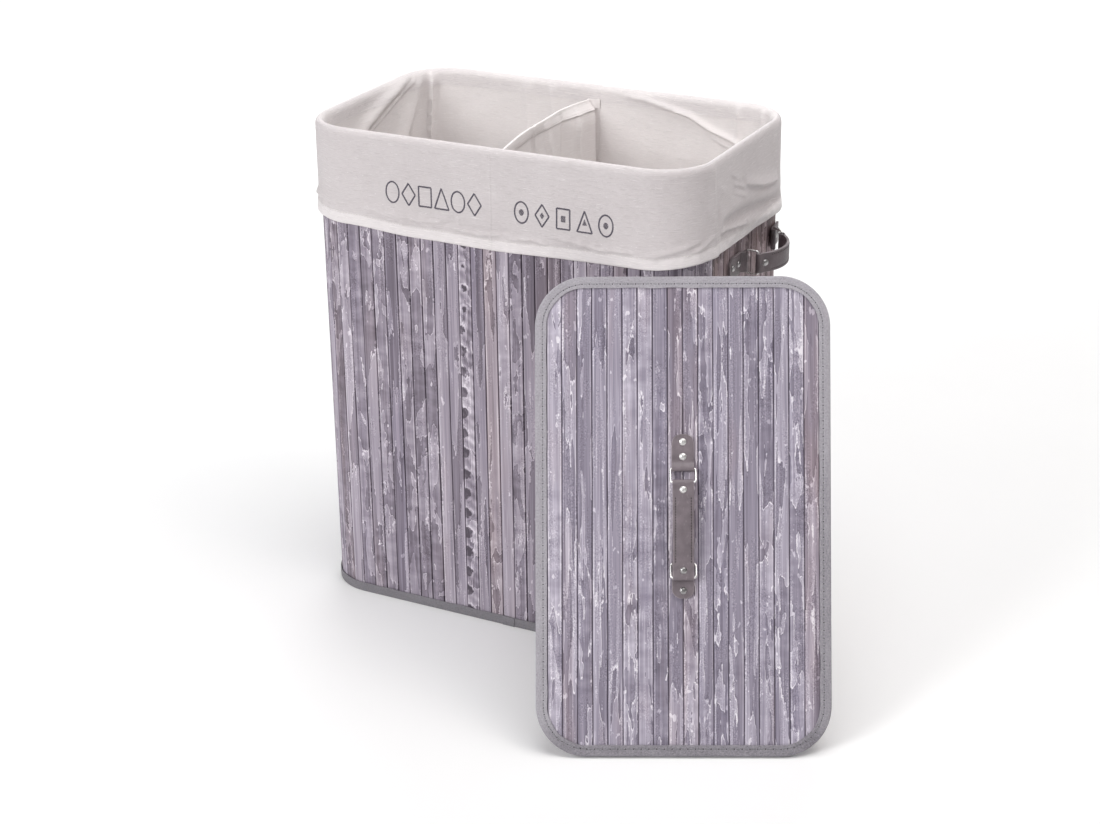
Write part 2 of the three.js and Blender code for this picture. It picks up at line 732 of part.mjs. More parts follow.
function strapGeometry(line, farHoleRadius) {
  const half = STRAP_WIDTH / 2;
  const square = [[-1, -1], [1, -1], [1, 1], [-1, 1]];
  const sections = Array.from({ length: STRAP_STEPS + 1 }, (unused, i) => {
    const { point, up } = line.at(line.length * i / STRAP_STEPS);
    const thick = up.clone().multiplyScalar(STRAP_THICKNESS / 2);
    return square.map(([side, face]) => (
      point.clone().addScaledVector(line.across, side * half).addScaledVector(thick, face)
    ));
  });
  const eye = (travel, radius, reach) => rod(
    radius,
    line.at(travel).point.addScaledVector(line.across, -reach),
    line.at(travel).point.addScaledVector(line.across, reach),
  );
  const hole = (travel) => {
    const { point, up } = line.at(travel);
    const reach = STRAP_THICKNESS / 2 + OVERRUN;
    const low = point.clone().addScaledVector(up, -reach);
    return rod(rivetHoleRadius, low, point.clone().addScaledVector(up, reach));
  };
  const ends = [[0, eyeHoleRadius], [line.length, farHoleRadius]];
  const eyes = ends.map(([travel, radius]) => eye(travel, radius + LOOP_WALL, half));
  const bores = ends.map(([travel, radius]) => eye(travel, radius, half + OVERRUN));
  const holes = [STRAP_RIVET_INSET, line.length - STRAP_RIVET_INSET].map(hole);
  return cut(join([loft(sections, square), ...eyes]), [...bores, ...holes]);
}

function strapRivet(line, travel) {
  const { point, up } = line.at(travel);
  const seat = point.clone().addScaledVector(up, STRAP_THICKNESS / 2 + FIT_GAP);
  return rivetGeometry(seat, up, STRAP_THICKNESS + FIT_GAP);
}

// Materials

const finishes = {
  slats: { color: 0x968c96, roughness: 0.75, metalness: 0 },
  lidSlats: { color: 0xa5a0ae, roughness: 0.75, metalness: 0 },
  backing: { color: 0xb9b4ad, roughness: 0.95, metalness: 0 },
  board: { color: 0xa08a6a, roughness: 0.9, metalness: 0 },
  tape: { color: 0x9b9e9e, roughness: 0.9, metalness: 0 },
  linen: { color: 0xd7d3d0, roughness: 0.95, metalness: 0 },
  leather: { color: 0x6b6462, roughness: 0.6, metalness: 0 },
  nickel: { color: 0xc9c8c6, roughness: 0.25, metalness: 1 },
  wire: { color: 0x8a8c8e, roughness: 0.45, metalness: 1 },
};

function piece(name, geometry, finish) {
  const mesh = new THREE.Mesh(geometry, new THREE.MeshStandardMaterial(finishes[finish]));
  mesh.name = name;
  return mesh;
}

function handlePieces(name, ground, tabs, bow, farHoleRadius) {
  const pieces = [];
  tabs.forEach((tab) => {
    pieces.push(piece(`${name}_tab_${tab.name}`, tabGeometry(ground, tab), 'leather'));
    pieces.push(piece(`${name}_ring_${tab.name}`, ringGeometry(ground, tab), 'nickel'));
    tabRivetReaches().forEach((reach, i) => {
      const run = tab.pivot + tab.way * reach;
      const { out } = ground.frame(run);
      const seatHeight = TAB_THICKNESS + 2 * FIT_GAP;
      const seat = ground.place(run, 0, 0).addScaledVector(out, seatHeight);
      const rivet = rivetGeometry(seat, out, seatHeight + ground.stack);
      pieces.push(piece(`${name}_rivet_${tab.name}_${['inner', 'outer'][i]}`, rivet, 'nickel'));
    });
  });
  const line = strapLine(ground, tabs[0], tabs[1], bow);
  pieces.push(piece(`${name}_strap`, strapGeometry(line, farHoleRadius), 'leather'));
  [STRAP_RIVET_INSET, line.length - STRAP_RIVET_INSET].forEach((travel, i) => {
    pieces.push(piece(`${name}_rivet_strap_${tabs[i].name}`, strapRivet(line, travel), 'nickel'));
  });
  return pieces;
}

// Where each handle is riveted

const sideTabs = [
  { name: 'front', pivot: nearPivot, way: -1, out: SIDE_PIVOT_OUT, tilt: SIDE_NEAR_RING_TILT },
  { name: 'back', pivot: farPivot, way: 1, out: SIDE_PIVOT_OUT, tilt: SIDE_FAR_RING_TILT },
];

const lidTabs = [
  { name: 'upper', pivot: LID_PIVOT_SPACING / 2, way: 1, out: lidPivotOut, tilt: LID_RING_TILT },
  { name: 'lower', pivot: -LID_PIVOT_SPACING / 2, way: -1, out: lidPivotOut, tilt: LID_RING_TILT },
];

function tabHoles(ground, tabs) {
  return tabs.flatMap((tab) => (
    tabRivetReaches().map((reach) => rivetHole(ground, tab.pivot + tab.way * reach))
  ));
}

// Assembly

const rightGround = endGround(1);
const leftGround = endGround(-1);
const rightHoles = tabHoles(rightGround, sideTabs);
const leftHoles = tabHoles(leftGround, sideTabs);
const lidHoles = tabHoles(lidGround, lidTabs);
const longRun = BODY_LENGTH - 2 * CORNER_RADIUS;
const endRun = BODY_DEPTH - 2 * CORNER_RADIUS;

function bodyPieces() {
  const board = prism(loopOutline(bodyLoop, bagInset), 0, BOARD_THICKNESS);
  return [
    piece('front_slats', flatSlats(3, longRun), 'slats'),
    piece('back_slats', flatSlats(1, longRun), 'slats'),
    piece('right_slats', cut(flatSlats(0, endRun), rightHoles), 'slats'),
    piece('left_slats', cut(flatSlats(2, endRun), leftHoles), 'slats'),
    piece('corner_slats_front_right', cut(cornerSlats(0), rightHoles), 'slats'),
    piece('corner_slats_back_right', cut(cornerSlats(1), rightHoles), 'slats'),
    piece('corner_slats_back_left', cut(cornerSlats(2), leftHoles), 'slats'),
    piece('corner_slats_front_left', cut(cornerSlats(3), leftHoles), 'slats'),
    piece('wall_backing', cut(wallBacking(), [...rightHoles, ...leftHoles]), 'backing'),
    piece('base_tape', wallTape(0, BASE_TAPE_HEIGHT), 'tape'),
    piece('base_wire', wallWire(baseWireHeight), 'wire'),
    piece('rim_tape', wallTape(rimTapeTop, rimTapeTop - RIM_TAPE_HEIGHT), 'tape'),
    piece('rim_wire', wallWire(rimWireHeight), 'wire'),
    piece('base_board', board, 'board'),
  ];
}

function linerPieces() {
  return [
    piece('liner_bag', linerBag(), 'linen'),
    piece('liner_cuff', linerCuff(), 'linen'),
    piece('liner_divider', linerDivider(), 'linen'),
    piece('liner_divider_hem', linerDividerHem(), 'linen'),
  ];
}

function lidPieces() {
  const board = lidLayer(lidBoardBack, lidBoardBack + LID_BOARD_THICKNESS);
  return [
    piece('lid_slats', cut(lidSlats(), lidHoles), 'lidSlats'),
    piece('lid_board', cut(board, lidHoles), 'board'),
    piece('lid_lining', lidLayer(lidLiningBack, lidLiningBack + LID_LINING_THICKNESS), 'linen'),
    piece('lid_tape', lidTape(), 'tape'),
    piece('lid_wire', lidWire(), 'wire'),
    ...handlePieces('lid_handle', lidGround, lidTabs, LID_STRAP_BOW, eyeHoleRadius),
  ];
}

function sideHandle(name, ground) {
  return handlePieces(name, ground, sideTabs, SIDE_STRAP_BOW, openEyeHoleRadius);
}

// The lid stands on its lower back edge and leans on the rounded corner at the front's right
function lidStand() {
  const turn = radians(LID_TURN);
  const lean = radians(LID_LEAN);
  const away = new THREE.Vector3(Math.sin(turn), -Math.cos(turn), 0);
  const across = new THREE.Vector3(Math.cos(turn), Math.sin(turn), 0);
  const up = new THREE.Vector3(0, 0, 1);
  const along = up.clone().multiplyScalar(Math.cos(lean)).addScaledVector(away, -Math.sin(lean));
  const normal = away.clone().multiplyScalar(Math.cos(lean)).addScaledVector(up, Math.sin(lean));
  const half = LID_LENGTH / 2;
  const foot = half * Math.cos(lean) - LID_TAPE_CHAMFER * Math.sin(lean);
  const touch = cornerStations(bodyLoop, 0).map((station) => inset(station, 0).dot(away));
  const gap = Math.max(...touch) + FIT_GAP + (half - LID_TAPE_CHAMFER) * Math.sin(lean);
  const centre = inset(cornerStations(bodyLoop, 0)[0], CORNER_RADIUS);
  const stand = new THREE.Group();
  stand.setRotationFromMatrix(new THREE.Matrix4().makeBasis(across, along, normal));
  stand.position.addScaledVector(away, gap);
  stand.position.addScaledVector(across, centre.dot(across) + LID_SHIFT);
  stand.position.addScaledVector(up, foot);
  return stand;
}

const hamper = new THREE.Group();
const lid = lidStand();
lid.add(...lidPieces());
hamper.add(
  ...bodyPieces(),
  ...linerPieces(),
  ...sideHandle('right_handle', rightGround),
  ...sideHandle('left_handle', leftGround),
  lid,
);

export default hamper;
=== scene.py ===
import math

import bpy
import numpy as np
from mathutils import Matrix, Vector


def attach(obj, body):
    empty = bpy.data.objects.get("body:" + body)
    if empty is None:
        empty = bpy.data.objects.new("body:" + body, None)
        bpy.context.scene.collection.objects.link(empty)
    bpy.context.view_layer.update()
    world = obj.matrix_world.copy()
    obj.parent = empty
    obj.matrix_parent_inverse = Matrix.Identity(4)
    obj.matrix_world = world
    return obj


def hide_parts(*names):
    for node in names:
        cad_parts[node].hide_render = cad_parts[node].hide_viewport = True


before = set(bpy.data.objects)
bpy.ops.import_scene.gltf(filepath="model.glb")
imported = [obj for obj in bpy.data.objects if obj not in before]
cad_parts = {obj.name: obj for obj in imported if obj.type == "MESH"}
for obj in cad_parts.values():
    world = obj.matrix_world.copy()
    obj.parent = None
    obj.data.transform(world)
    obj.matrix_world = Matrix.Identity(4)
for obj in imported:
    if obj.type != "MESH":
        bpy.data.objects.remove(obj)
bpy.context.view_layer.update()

# A laundry hamper with two bins: walls of upright washed bamboo slats, a cloth liner folded over
# the rim, side handles, and a loose lid that leans on the front's right corner.
# Lengths are in millimetres, in the model's own frame, and scaled to metres in the meshes.

SCALE = 0.001

# Body
HALF_LENGTH, HALF_DEPTH, CORNER = 248.0, 148.0, 60.0
SLAT_LOW, SLAT_HIGH, SLAT_THICK, SLAT_ROWS = 4.6, 584.0, 3.0, 74
FRONT_SLATS, END_SLATS, CORNER_SLATS = 23, 11, 6
BASE_TAPE_HIGH, RIM_TAPE_LOW, RIM_TAPE_HIGH, TAPE_LAP = 12.0, 564.6, 588.6, 1309.0
BACKING_DEPTHS = (3.35, 4.45)
BAG_DEPTH, BAG_LOW, SEAM_HEIGHT, RIM_TOP, CLOTH_HALF = 6.7, 4.9, 580.0, 595.5, 0.5

# Cuff. The drops and flares of its hem are shares of HEM_WAVE and HEM_FLARE at even places round it.
CUFF_SPRING, CUFF_RISE, CUFF_OUT, CUFF_PLUMP = 587.0, 8.1, 2.6, 0.5
HEM_HEIGHT, HEM_WAVE, HEM_FLARE, HEM_BAND = 485.0, 12.0, 3.4, 12.0
HEM_DROP = (0.62, 0.14, 0.38, 0.34, 0.42, 0.75, 0.95, 0.6, 0.25, 0.3, 0.12, 0.22, 0.62, 1.02, 1.08, 0.8)
HEM_OUT = (0.5, 0.9, 0.35, 0.55, 0.8, 0.3, 0.15, 0.5, 0.85, 0.45, 0.7, 0.4, 0.6, 0.2, 0.1, 0.35)
FRONT_MIDDLE, FRONT_JOIN, BACK_JOIN = 1293.0, 1298.0, 552.5
# Columns of its cross section: those before the first are inside the rim, and those from the second
# on hang outside it
CUFF_APEX, CUFF_OUTSIDE = 13, 26
# How far its middle stays off the slats, and off the tape above them
CLEAR_SLATS, CLEAR_TAPE = 1.15, 2.0

# Divider
DIVIDER_TOP, DIVIDER_LOW, DIVIDER_HALF = 578.0, 5.8, 140.3
DIVIDER_BULGE, DIVIDER_PEAK, DIVIDER_LEAN, HEM_SEWN = 20.0, 0.55, 10.0, 8.6
# Runs across the divider are counted from here and close on themselves after its loop
DIVIDER_START, DIVIDER_LOOP = 300.0, 600.0

# Lid
LID_HALF_WIDTH, LID_HALF_LENGTH, LID_CORNER = 160.0, 260.0, 55.0
LID_TAPE, LID_FACE, LID_THICK, LID_INSET = 12.5, 6.7, 8.0, 4.8
LID_PITCH, LID_SHIFT, LID_SEWN, LID_LAP = 16.4, 0.2, 8.2, -105.0
LID_SLAT_THICK, LID_SLAT_ROWS = 1.8, 68
LID_PLACE = (277.103, -227.999, 237.098)
LID_AXES = ((0.8990, 0.4379, 0.0), (-0.1774, 0.3642, 0.9143), (0.4004, -0.8219, 0.4051))

# Handles
TAB_HALF, TAB_LENGTH, TAB_ROUND, TAB_THICK = 12.15, 37.5, 10.5, 2.8
TAB_LIFT_RUN, RIVET_FROM_END, RIVET_SPACING, TAB_BEND = 9.0, 8.5, 16.0, 2.3
RING_WIRE, RING_REACH, RING_HALF, RING_CORNER = 1.25, 16.0, 13.75, 2.5
EYE, OPEN_EYE, TAB_LAYER = 1.6, 2.4, 1.4
STRAP_HALF, STRAP_THICK, STRAP_RIVET = 11.5, 3.0, 8.0
RIVET_RADIUS, RIVET_HIGH, RIVET_SHANK, RIVET_RIM, RIVET_SEAT = 3.95, 1.8, 1.5, 0.42, 0.42
SIDE_HEIGHT, SIDE_NEAR, SIDE_FAR, SIDE_OUT = 456.5, -8.0, 78.0, 5.6
LID_PIVOT, LID_OUT = 51.5, 3.3
# A tab's foot and the middles of its two layers over it, and the run over which they meet
TAB_FOOT, TAB_UNDER, TAB_OVER, TAB_WEDGE = 0.3, 0.68, 2.12, 8.0
# The strap's layers: how thick each is, how far its middle is from the strap's, how far it is from
# a ring's eye, the run over which they part there, and where the stitches start
STRAP_LAYER, STRAP_APART, STRAP_OFF_EYE, STRAP_PART, STRAP_STITCHED = 1.46, 0.77, 0.7, 7.0, 16.0
# How far each handle's strap bows outwards
SIDE_BOW, LID_BOW = 18.5, 3.0
DENT_DEPTH, DENT_SIZE = 0.34, 26.0

# How far apart stitches start, and how far the strap's and the lid's are from their edge or end
HEM_STITCH, DIVIDER_STITCH, LID_STITCH, STRAP_STITCH = 3.6, 3.4, 8.4, 3.0
STRAP_SEWN, LID_STITCH_END = 3.0, 1.3


# ---------------------------------------------------------------- meshes

def link(obj):
    bpy.context.scene.collection.objects.link(obj)
    return obj


def triple(a, b, c):
    """Three values at each point, as x, y and z or as a layer that a material reads."""
    return np.stack(np.broadcast_arrays(a, b, c), -1)


def smooth(value):
    value = np.clip(value, 0, 1)
    return value * value * (3 - 2 * value)


def unit(vector):
    return vector / np.linalg.norm(vector)


def grid(rows, columns, wrap_rows, wrap_columns):
    """Quads between a grid's points, and caps on the ends that stay open, all turned one way."""
    a, b = np.indices((rows if wrap_rows else rows - 1, columns if wrap_columns else columns - 1))
    c, d = (a + 1) % rows, (b + 1) % columns
    quads = np.stack([a * columns + b, c * columns + b, c * columns + d, a * columns + d], -1)
    last, count, caps = (rows - 1) * columns, rows * columns, []
    if not wrap_rows:
        caps += [range(columns), range(last, count)[::-1]]
    if not wrap_columns:
        caps += [range(0, count, columns)[::-1], range(columns - 1, count, columns)]
    return quads.reshape(-1, 4), [list(cap) for cap in caps]


def volume(points, quads, caps):
    """Six times the volume within faces turned outwards. It is negative if they are turned inwards."""
    a, b, c, d = (points[quads[:, i]] for i in range(4))
    fans = ((points[cap[0]] * np.cross(points[cap[1:-1]], points[cap[2:]])).sum() for cap in caps)
    return (a * (np.cross(b, c) + np.cross(c, d))).sum() + sum(fans)


class Heap:
    """Closed solids gathered into one mesh. Each is a grid of points, wrapped one or both ways."""

    def __init__(self):
        self.points, self.quads, self.caps, self.layers, self.count = [], [], [], {}, 0

    def add(self, points, wrap_rows=True, wrap_columns=True, **layers):
        quads, caps = grid(*points.shape[:2], wrap_rows, wrap_columns)
        points = points.reshape(-1, 3)
        if volume(points - points.mean(0), quads, caps) < 0:
            quads, caps = quads[:, ::-1], [cap[::-1] for cap in caps]
        self.points.append(points)
        self.quads.append(quads + self.count)
        self.caps += [[i + self.count for i in cap] for cap in caps]
        for key, values in layers.items():
            self.layers.setdefault(key, []).append(values.reshape(-1, 3))
        self.count += len(points)
        return self

    def build(self, name, matrix=None, sharp=55):
        points, quads = np.concatenate(self.points), np.concatenate(self.quads)
        if matrix is not None:
            points = points @ np.array(matrix)[:3, :3].T + np.array(matrix)[:3, 3]
        mesh = bpy.data.meshes.new(name)
        mesh.from_pydata((points * SCALE).tolist(), [], quads.tolist() + self.caps)
        for key, values in self.layers.items():
            layer = mesh.attributes.new(key, "FLOAT_VECTOR", "POINT")
            layer.data.foreach_set("vector", np.concatenate(values).astype(np.float32).ravel())
        mesh.polygons.foreach_set("use_smooth", [True] * len(mesh.polygons))
        mesh.set_sharp_from_angle(angle=math.radians(sharp))
        mesh.update()
        return link(bpy.data.objects.new(name, mesh))


def solid(name, points, wrap_rows=True, wrap_columns=True, matrix=None, sharp=55, **layers):
    return Heap().add(points, wrap_rows, wrap_columns, **layers).build(name, matrix, sharp)


def piece(obj, body, slot, material, *nodes):
    obj.data.materials.clear()
    obj.data.materials.append(material)
    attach(obj, body)
    if nodes:
        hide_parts(*nodes)
    return obj


# ---------------------------------------------------------------- rounded loops

class Loop:
    """A rounded rectangle. A run goes anticlockwise from the end of the front's straight part."""

    def __init__(self, half_x, half_y, radius):
        self.radius = radius
        self.reach = np.array([half_x - radius, half_y - radius])
        arc, end, long = radius * math.pi / 2, 2 * self.reach[1], 2 * self.reach[0]
        self.edges = np.cumsum([0, arc, end, arc, long, arc, end, arc, long])
        self.length = self.edges[-1]

    def at(self, run):
        run = np.mod(np.asarray(run, float), self.length)
        part = np.clip(np.searchsorted(self.edges, run, side="right") - 1, 0, 7)
        into = run - self.edges[part]
        corner = part // 2
        sign = np.array([[1, -1], [1, 1], [-1, 1], [-1, -1]])[corner]
        bent = part % 2 == 0
        angle = (corner - 1) * math.pi / 2 + np.where(bent, into / self.radius, math.pi / 2)
        out = np.stack([np.cos(angle), np.sin(angle)], -1)
        along = np.stack([-np.sin(angle), np.cos(angle)], -1)
        return sign * self.reach + out * self.radius + along * np.where(bent, 0, into)[..., None], out

    def ring(self, run, depth, height):
        """Points at these depths inside the outline and heights, one row for each run."""
        point, out = self.at(run)
        return triple(*(point[:, i, None] - out[:, i, None] * depth for i in (0, 1)), height)


body_loop = Loop(HALF_LENGTH, HALF_DEPTH, CORNER)
lid_loop = Loop(LID_HALF_WIDTH, LID_HALF_LENGTH, LID_CORNER)
lid_matrix = Matrix([[*(axis[i] for axis in LID_AXES), LID_PLACE[i]] for i in range(3)] + [[0, 0, 0, 1]])


def even_runs(loop, step, start=0.0):
    count = round(loop.length / step)
    return start + np.arange(count) * loop.length / count


def joined_runs(loop, step):
    """Even runs, with closer ones beside the cuff's two upright joins, starting at the back one."""
    near = np.arange(-3.0, 3.1, 0.6)
    even = even_runs(loop, step, BACK_JOIN)
    front = BACK_JOIN + np.mod(FRONT_JOIN - BACK_JOIN, loop.length)
    back = BACK_JOIN + np.mod(near, loop.length)
    far = np.all([abs(even - join) > 4.0 for join in (front, BACK_JOIN, BACK_JOIN + loop.length)], 0)
    return np.sort(np.concatenate([even[far], front + near, back]))


def travel(points):
    """How far each point of a row is along it."""
    steps = np.linalg.norm(np.diff(points, axis=1), axis=2)
    return np.concatenate([np.zeros((len(points), 1)), np.cumsum(steps, axis=1)], 1)


def band(name, loop, run, depth, height, matrix=None, darkening=0.0):
    """A closed cross section carried round a loop, with its weave's coordinates and how much darker it is
    made.
    """
    points = loop.ring(run, depth, height)
    return solid(name, points, matrix=matrix, weave=triple(run[:, None], travel(points), darkening))


def plate(name, inset, low, high, body, slot, material, nodes, loop=body_loop, matrix=None, soft=0.6):
    """A flat board or cloth inside a loop, with softened edges."""
    slight = soft * 0.3
    depth = inset + np.array([40, soft, slight, 0, 0, slight, soft, 40])
    height = np.array([low, low, low + slight, low + soft, high - soft, high - slight, high, high])
    points = loop.ring(even_runs(loop, 5.0), depth, height)
    weave = triple(points[..., 0], points[..., 1], 0.0)
    return piece(solid(name, points, True, False, matrix, weave=weave), body, slot, material, *nodes)


def rounded(points, radius, steps=3):
    """A closed outline with its corners rounded."""
    points, made = np.asarray(points, float), []
    for i, point in enumerate(points):
        before, after = points[i - 1] - point, points[(i + 1) % len(points)] - point
        sizes = np.linalg.norm(before), np.linalg.norm(after)
        reach = min(radius, sizes[0] * 0.45, sizes[1] * 0.45)
        start, end = point + before / sizes[0] * reach, point + after / sizes[1] * reach
        for t in np.arange(steps + 1) / steps:
            made.append((1 - t) ** 2 * start + 2 * t * (1 - t) * point + t * t * end)
    return np.array(made)


# ---------------------------------------------------------------- uneven surfaces

def unevenness(run, height, seed, run_size, height_size, length=body_loop.length, count=9):
    """Smooth random waves that close on themselves round a loop, about from -1 to 1."""
    rng = np.random.default_rng(seed)
    total = 0.0
    for _ in range(count):
        turns = max(1, round(length / run_size * rng.uniform(0.5, 1.6)))
        rise = 2 * math.pi / height_size * rng.uniform(-1.4, 1.4)
        phase = rng.uniform(0, 2 * math.pi)
        total = total + np.cos(2 * math.pi * turns * run / length + rise * height + phase)
    return total / math.sqrt(count) / 1.4


def fold(run, height, places, width, rise, under=1.0, length=body_loop.length):
    """A ridge along a line through places, fading towards its ends. To the right of the line's way
    its width is multiplied by under, so a small value makes a sharp crease on that side."""
    places = np.asarray(places, float)
    x = places[0, 0] + np.mod(run - places[0, 0] + length / 2, length) - length / 2
    best = np.full(np.broadcast(x, height).shape, 1e9)
    share, right = np.zeros(best.shape), np.zeros(best.shape, bool)
    sizes = np.linalg.norm(np.diff(places, axis=0), axis=1)
    starts = np.concatenate([[0], np.cumsum(sizes)])
    for i, size in enumerate(sizes):
        dx, dy = (places[i + 1] - places[i]) / size
        px, py = x - places[i, 0], height - places[i, 1]
        along = np.clip(px * dx + py * dy, 0, size)
        gap = np.hypot(px - along * dx, py - along * dy)
        closer = gap < best
        best = np.where(closer, gap, best)
        share = np.where(closer, (starts[i] + along) / starts[-1], share)
        right = np.where(closer, px * dy - py * dx > 0, right)
    bell = np.exp(-((best / np.where(right, width * under, width)) ** 2))
    return rise * bell * np.sin(math.pi * np.clip(share, 0.0, 1.0)) ** 0.3


def folds(run, height, creases, length=body_loop.length):
    return sum(fold(run, height, *crease, length) for crease in creases)


def station_value(values, run):
    """Values given at even places round the body, blended between them."""
    place = np.mod(run / body_loop.length, 1.0) * len(values)
    low, table = np.floor(place).astype(int) % len(values), np.array(values)
    return table[low] + (table[(low + 1) % len(values)] - table[low]) * smooth(place - np.floor(place))


# ---------------------------------------------------------------- materials

def arithmetic(operation):
    return lambda value, other: value.graph.maths(operation, value, other)


class Value:
    """A socket in a material's graph, for plain arithmetic."""
    __add__, __sub__, __mul__, __truediv__ = map(arithmetic, ("ADD", "SUBTRACT", "MULTIPLY", "DIVIDE"))

    def __init__(self, graph, socket):
        self.graph, self.socket = graph, socket


class Graph:
    """A material's nodes, made by short calls."""

    def __init__(self, name, **constants):
        self.material = bpy.data.materials.new(name)
        self.material.use_nodes = True
        self.tree = self.material.node_tree
        self.shader = self.tree.nodes["Principled BSDF"]
        self.fill(self.shader, {key.replace("_", " "): value for key, value in constants.items()})

    def fill(self, node, inputs):
        for key, value in inputs.items():
            if isinstance(value, Value):
                self.tree.links.new(value.socket, node.inputs[key])
            else:
                node.inputs[key].default_value = value

    def node(self, kind, inputs, **settings):
        made = self.tree.nodes.new(kind)
        for key, value in settings.items():
            setattr(made, key, value)
        self.fill(made, inputs)
        return made

    def value(self, kind, inputs, output=0, **settings):
        return Value(self, self.node(kind, inputs, **settings).outputs[output])

    def layer(self, name):
        return self.value("ShaderNodeAttribute", {}, "Vector", attribute_name=name)

    def place(self):
        return self.value("ShaderNodeTexCoord", {}, "Object")

    def split(self, vector):
        return [Value(self, socket) for socket in self.node("ShaderNodeSeparateXYZ", {0: vector}).outputs]

    def maths(self, operation, a, b=0.0):
        return self.value("ShaderNodeMath", {0: a, 1: b}, operation=operation)

    def mix(self, share, a, b, blend="MIX"):
        return self.value("ShaderNodeMix", {0: share, 6: a, 7: b}, 2, data_type="RGBA", blend_type=blend)

    def noise(self, vector, size, detail=2.0, rough=0.5, bend=0.0, shift=0.0):
        """Noise with a fineness in each direction. Each shift gives another pattern."""
        inputs = {"Vector": vector, "Scale": size, "Location": (0, 0, shift)}
        place = self.value("ShaderNodeMapping", inputs)
        inputs = {"Vector": place, "Scale": 1.0, "Detail": detail, "Roughness": rough, "Distortion": bend}
        return self.value("ShaderNodeTexNoise", inputs)

    def between(self, value, low, high, out_low=0.0, out_high=1.0, kind="SMOOTHSTEP"):
        inputs = {0: value, 1: low, 2: high, 3: out_low, 4: out_high}
        return self.value("ShaderNodeMapRange", inputs, interpolation_type=kind, clamp=True)

    def ramp(self, value, *stops):
        made = self.node("ShaderNodeValToRGB", {0: value})
        marks = made.color_ramp.elements
        while len(marks) < len(stops):
            marks.new(0.5)
        for mark, (place, colour) in zip(marks, stops):
            mark.position, mark.color = place, colour
        return Value(self, made.outputs[0])

    def wave(self, value, pitch):
        """From 0 to 1 and back once in each pitch of a length."""
        return self.maths("SINE", value * (2 * math.pi / pitch)) * 0.5 + 0.5

    def done(self, colour, relief=None, depth=0.0, strength=1.0, roughness=None):
        """The material with this colour, its relief as a bump, and its uneven roughness."""
        inputs = {"Base Color": colour}
        if relief:
            inputs["Normal"] = self.value(
                "ShaderNodeBump", {"Height": relief, "Distance": depth, "Strength": strength})
        if roughness:
            inputs["Roughness"] = roughness
        self.fill(self.shader, inputs)
        return self.material


def shade(red, green, blue):
    """A colour given as it looks on a screen, from 0 to 255."""
    values = (value / 255 for value in (red, green, blue))
    return (*(v / 12.92 if v <= 0.04045 else ((v + 0.055) / 1.055) ** 2.4 for v in values), 1.0)


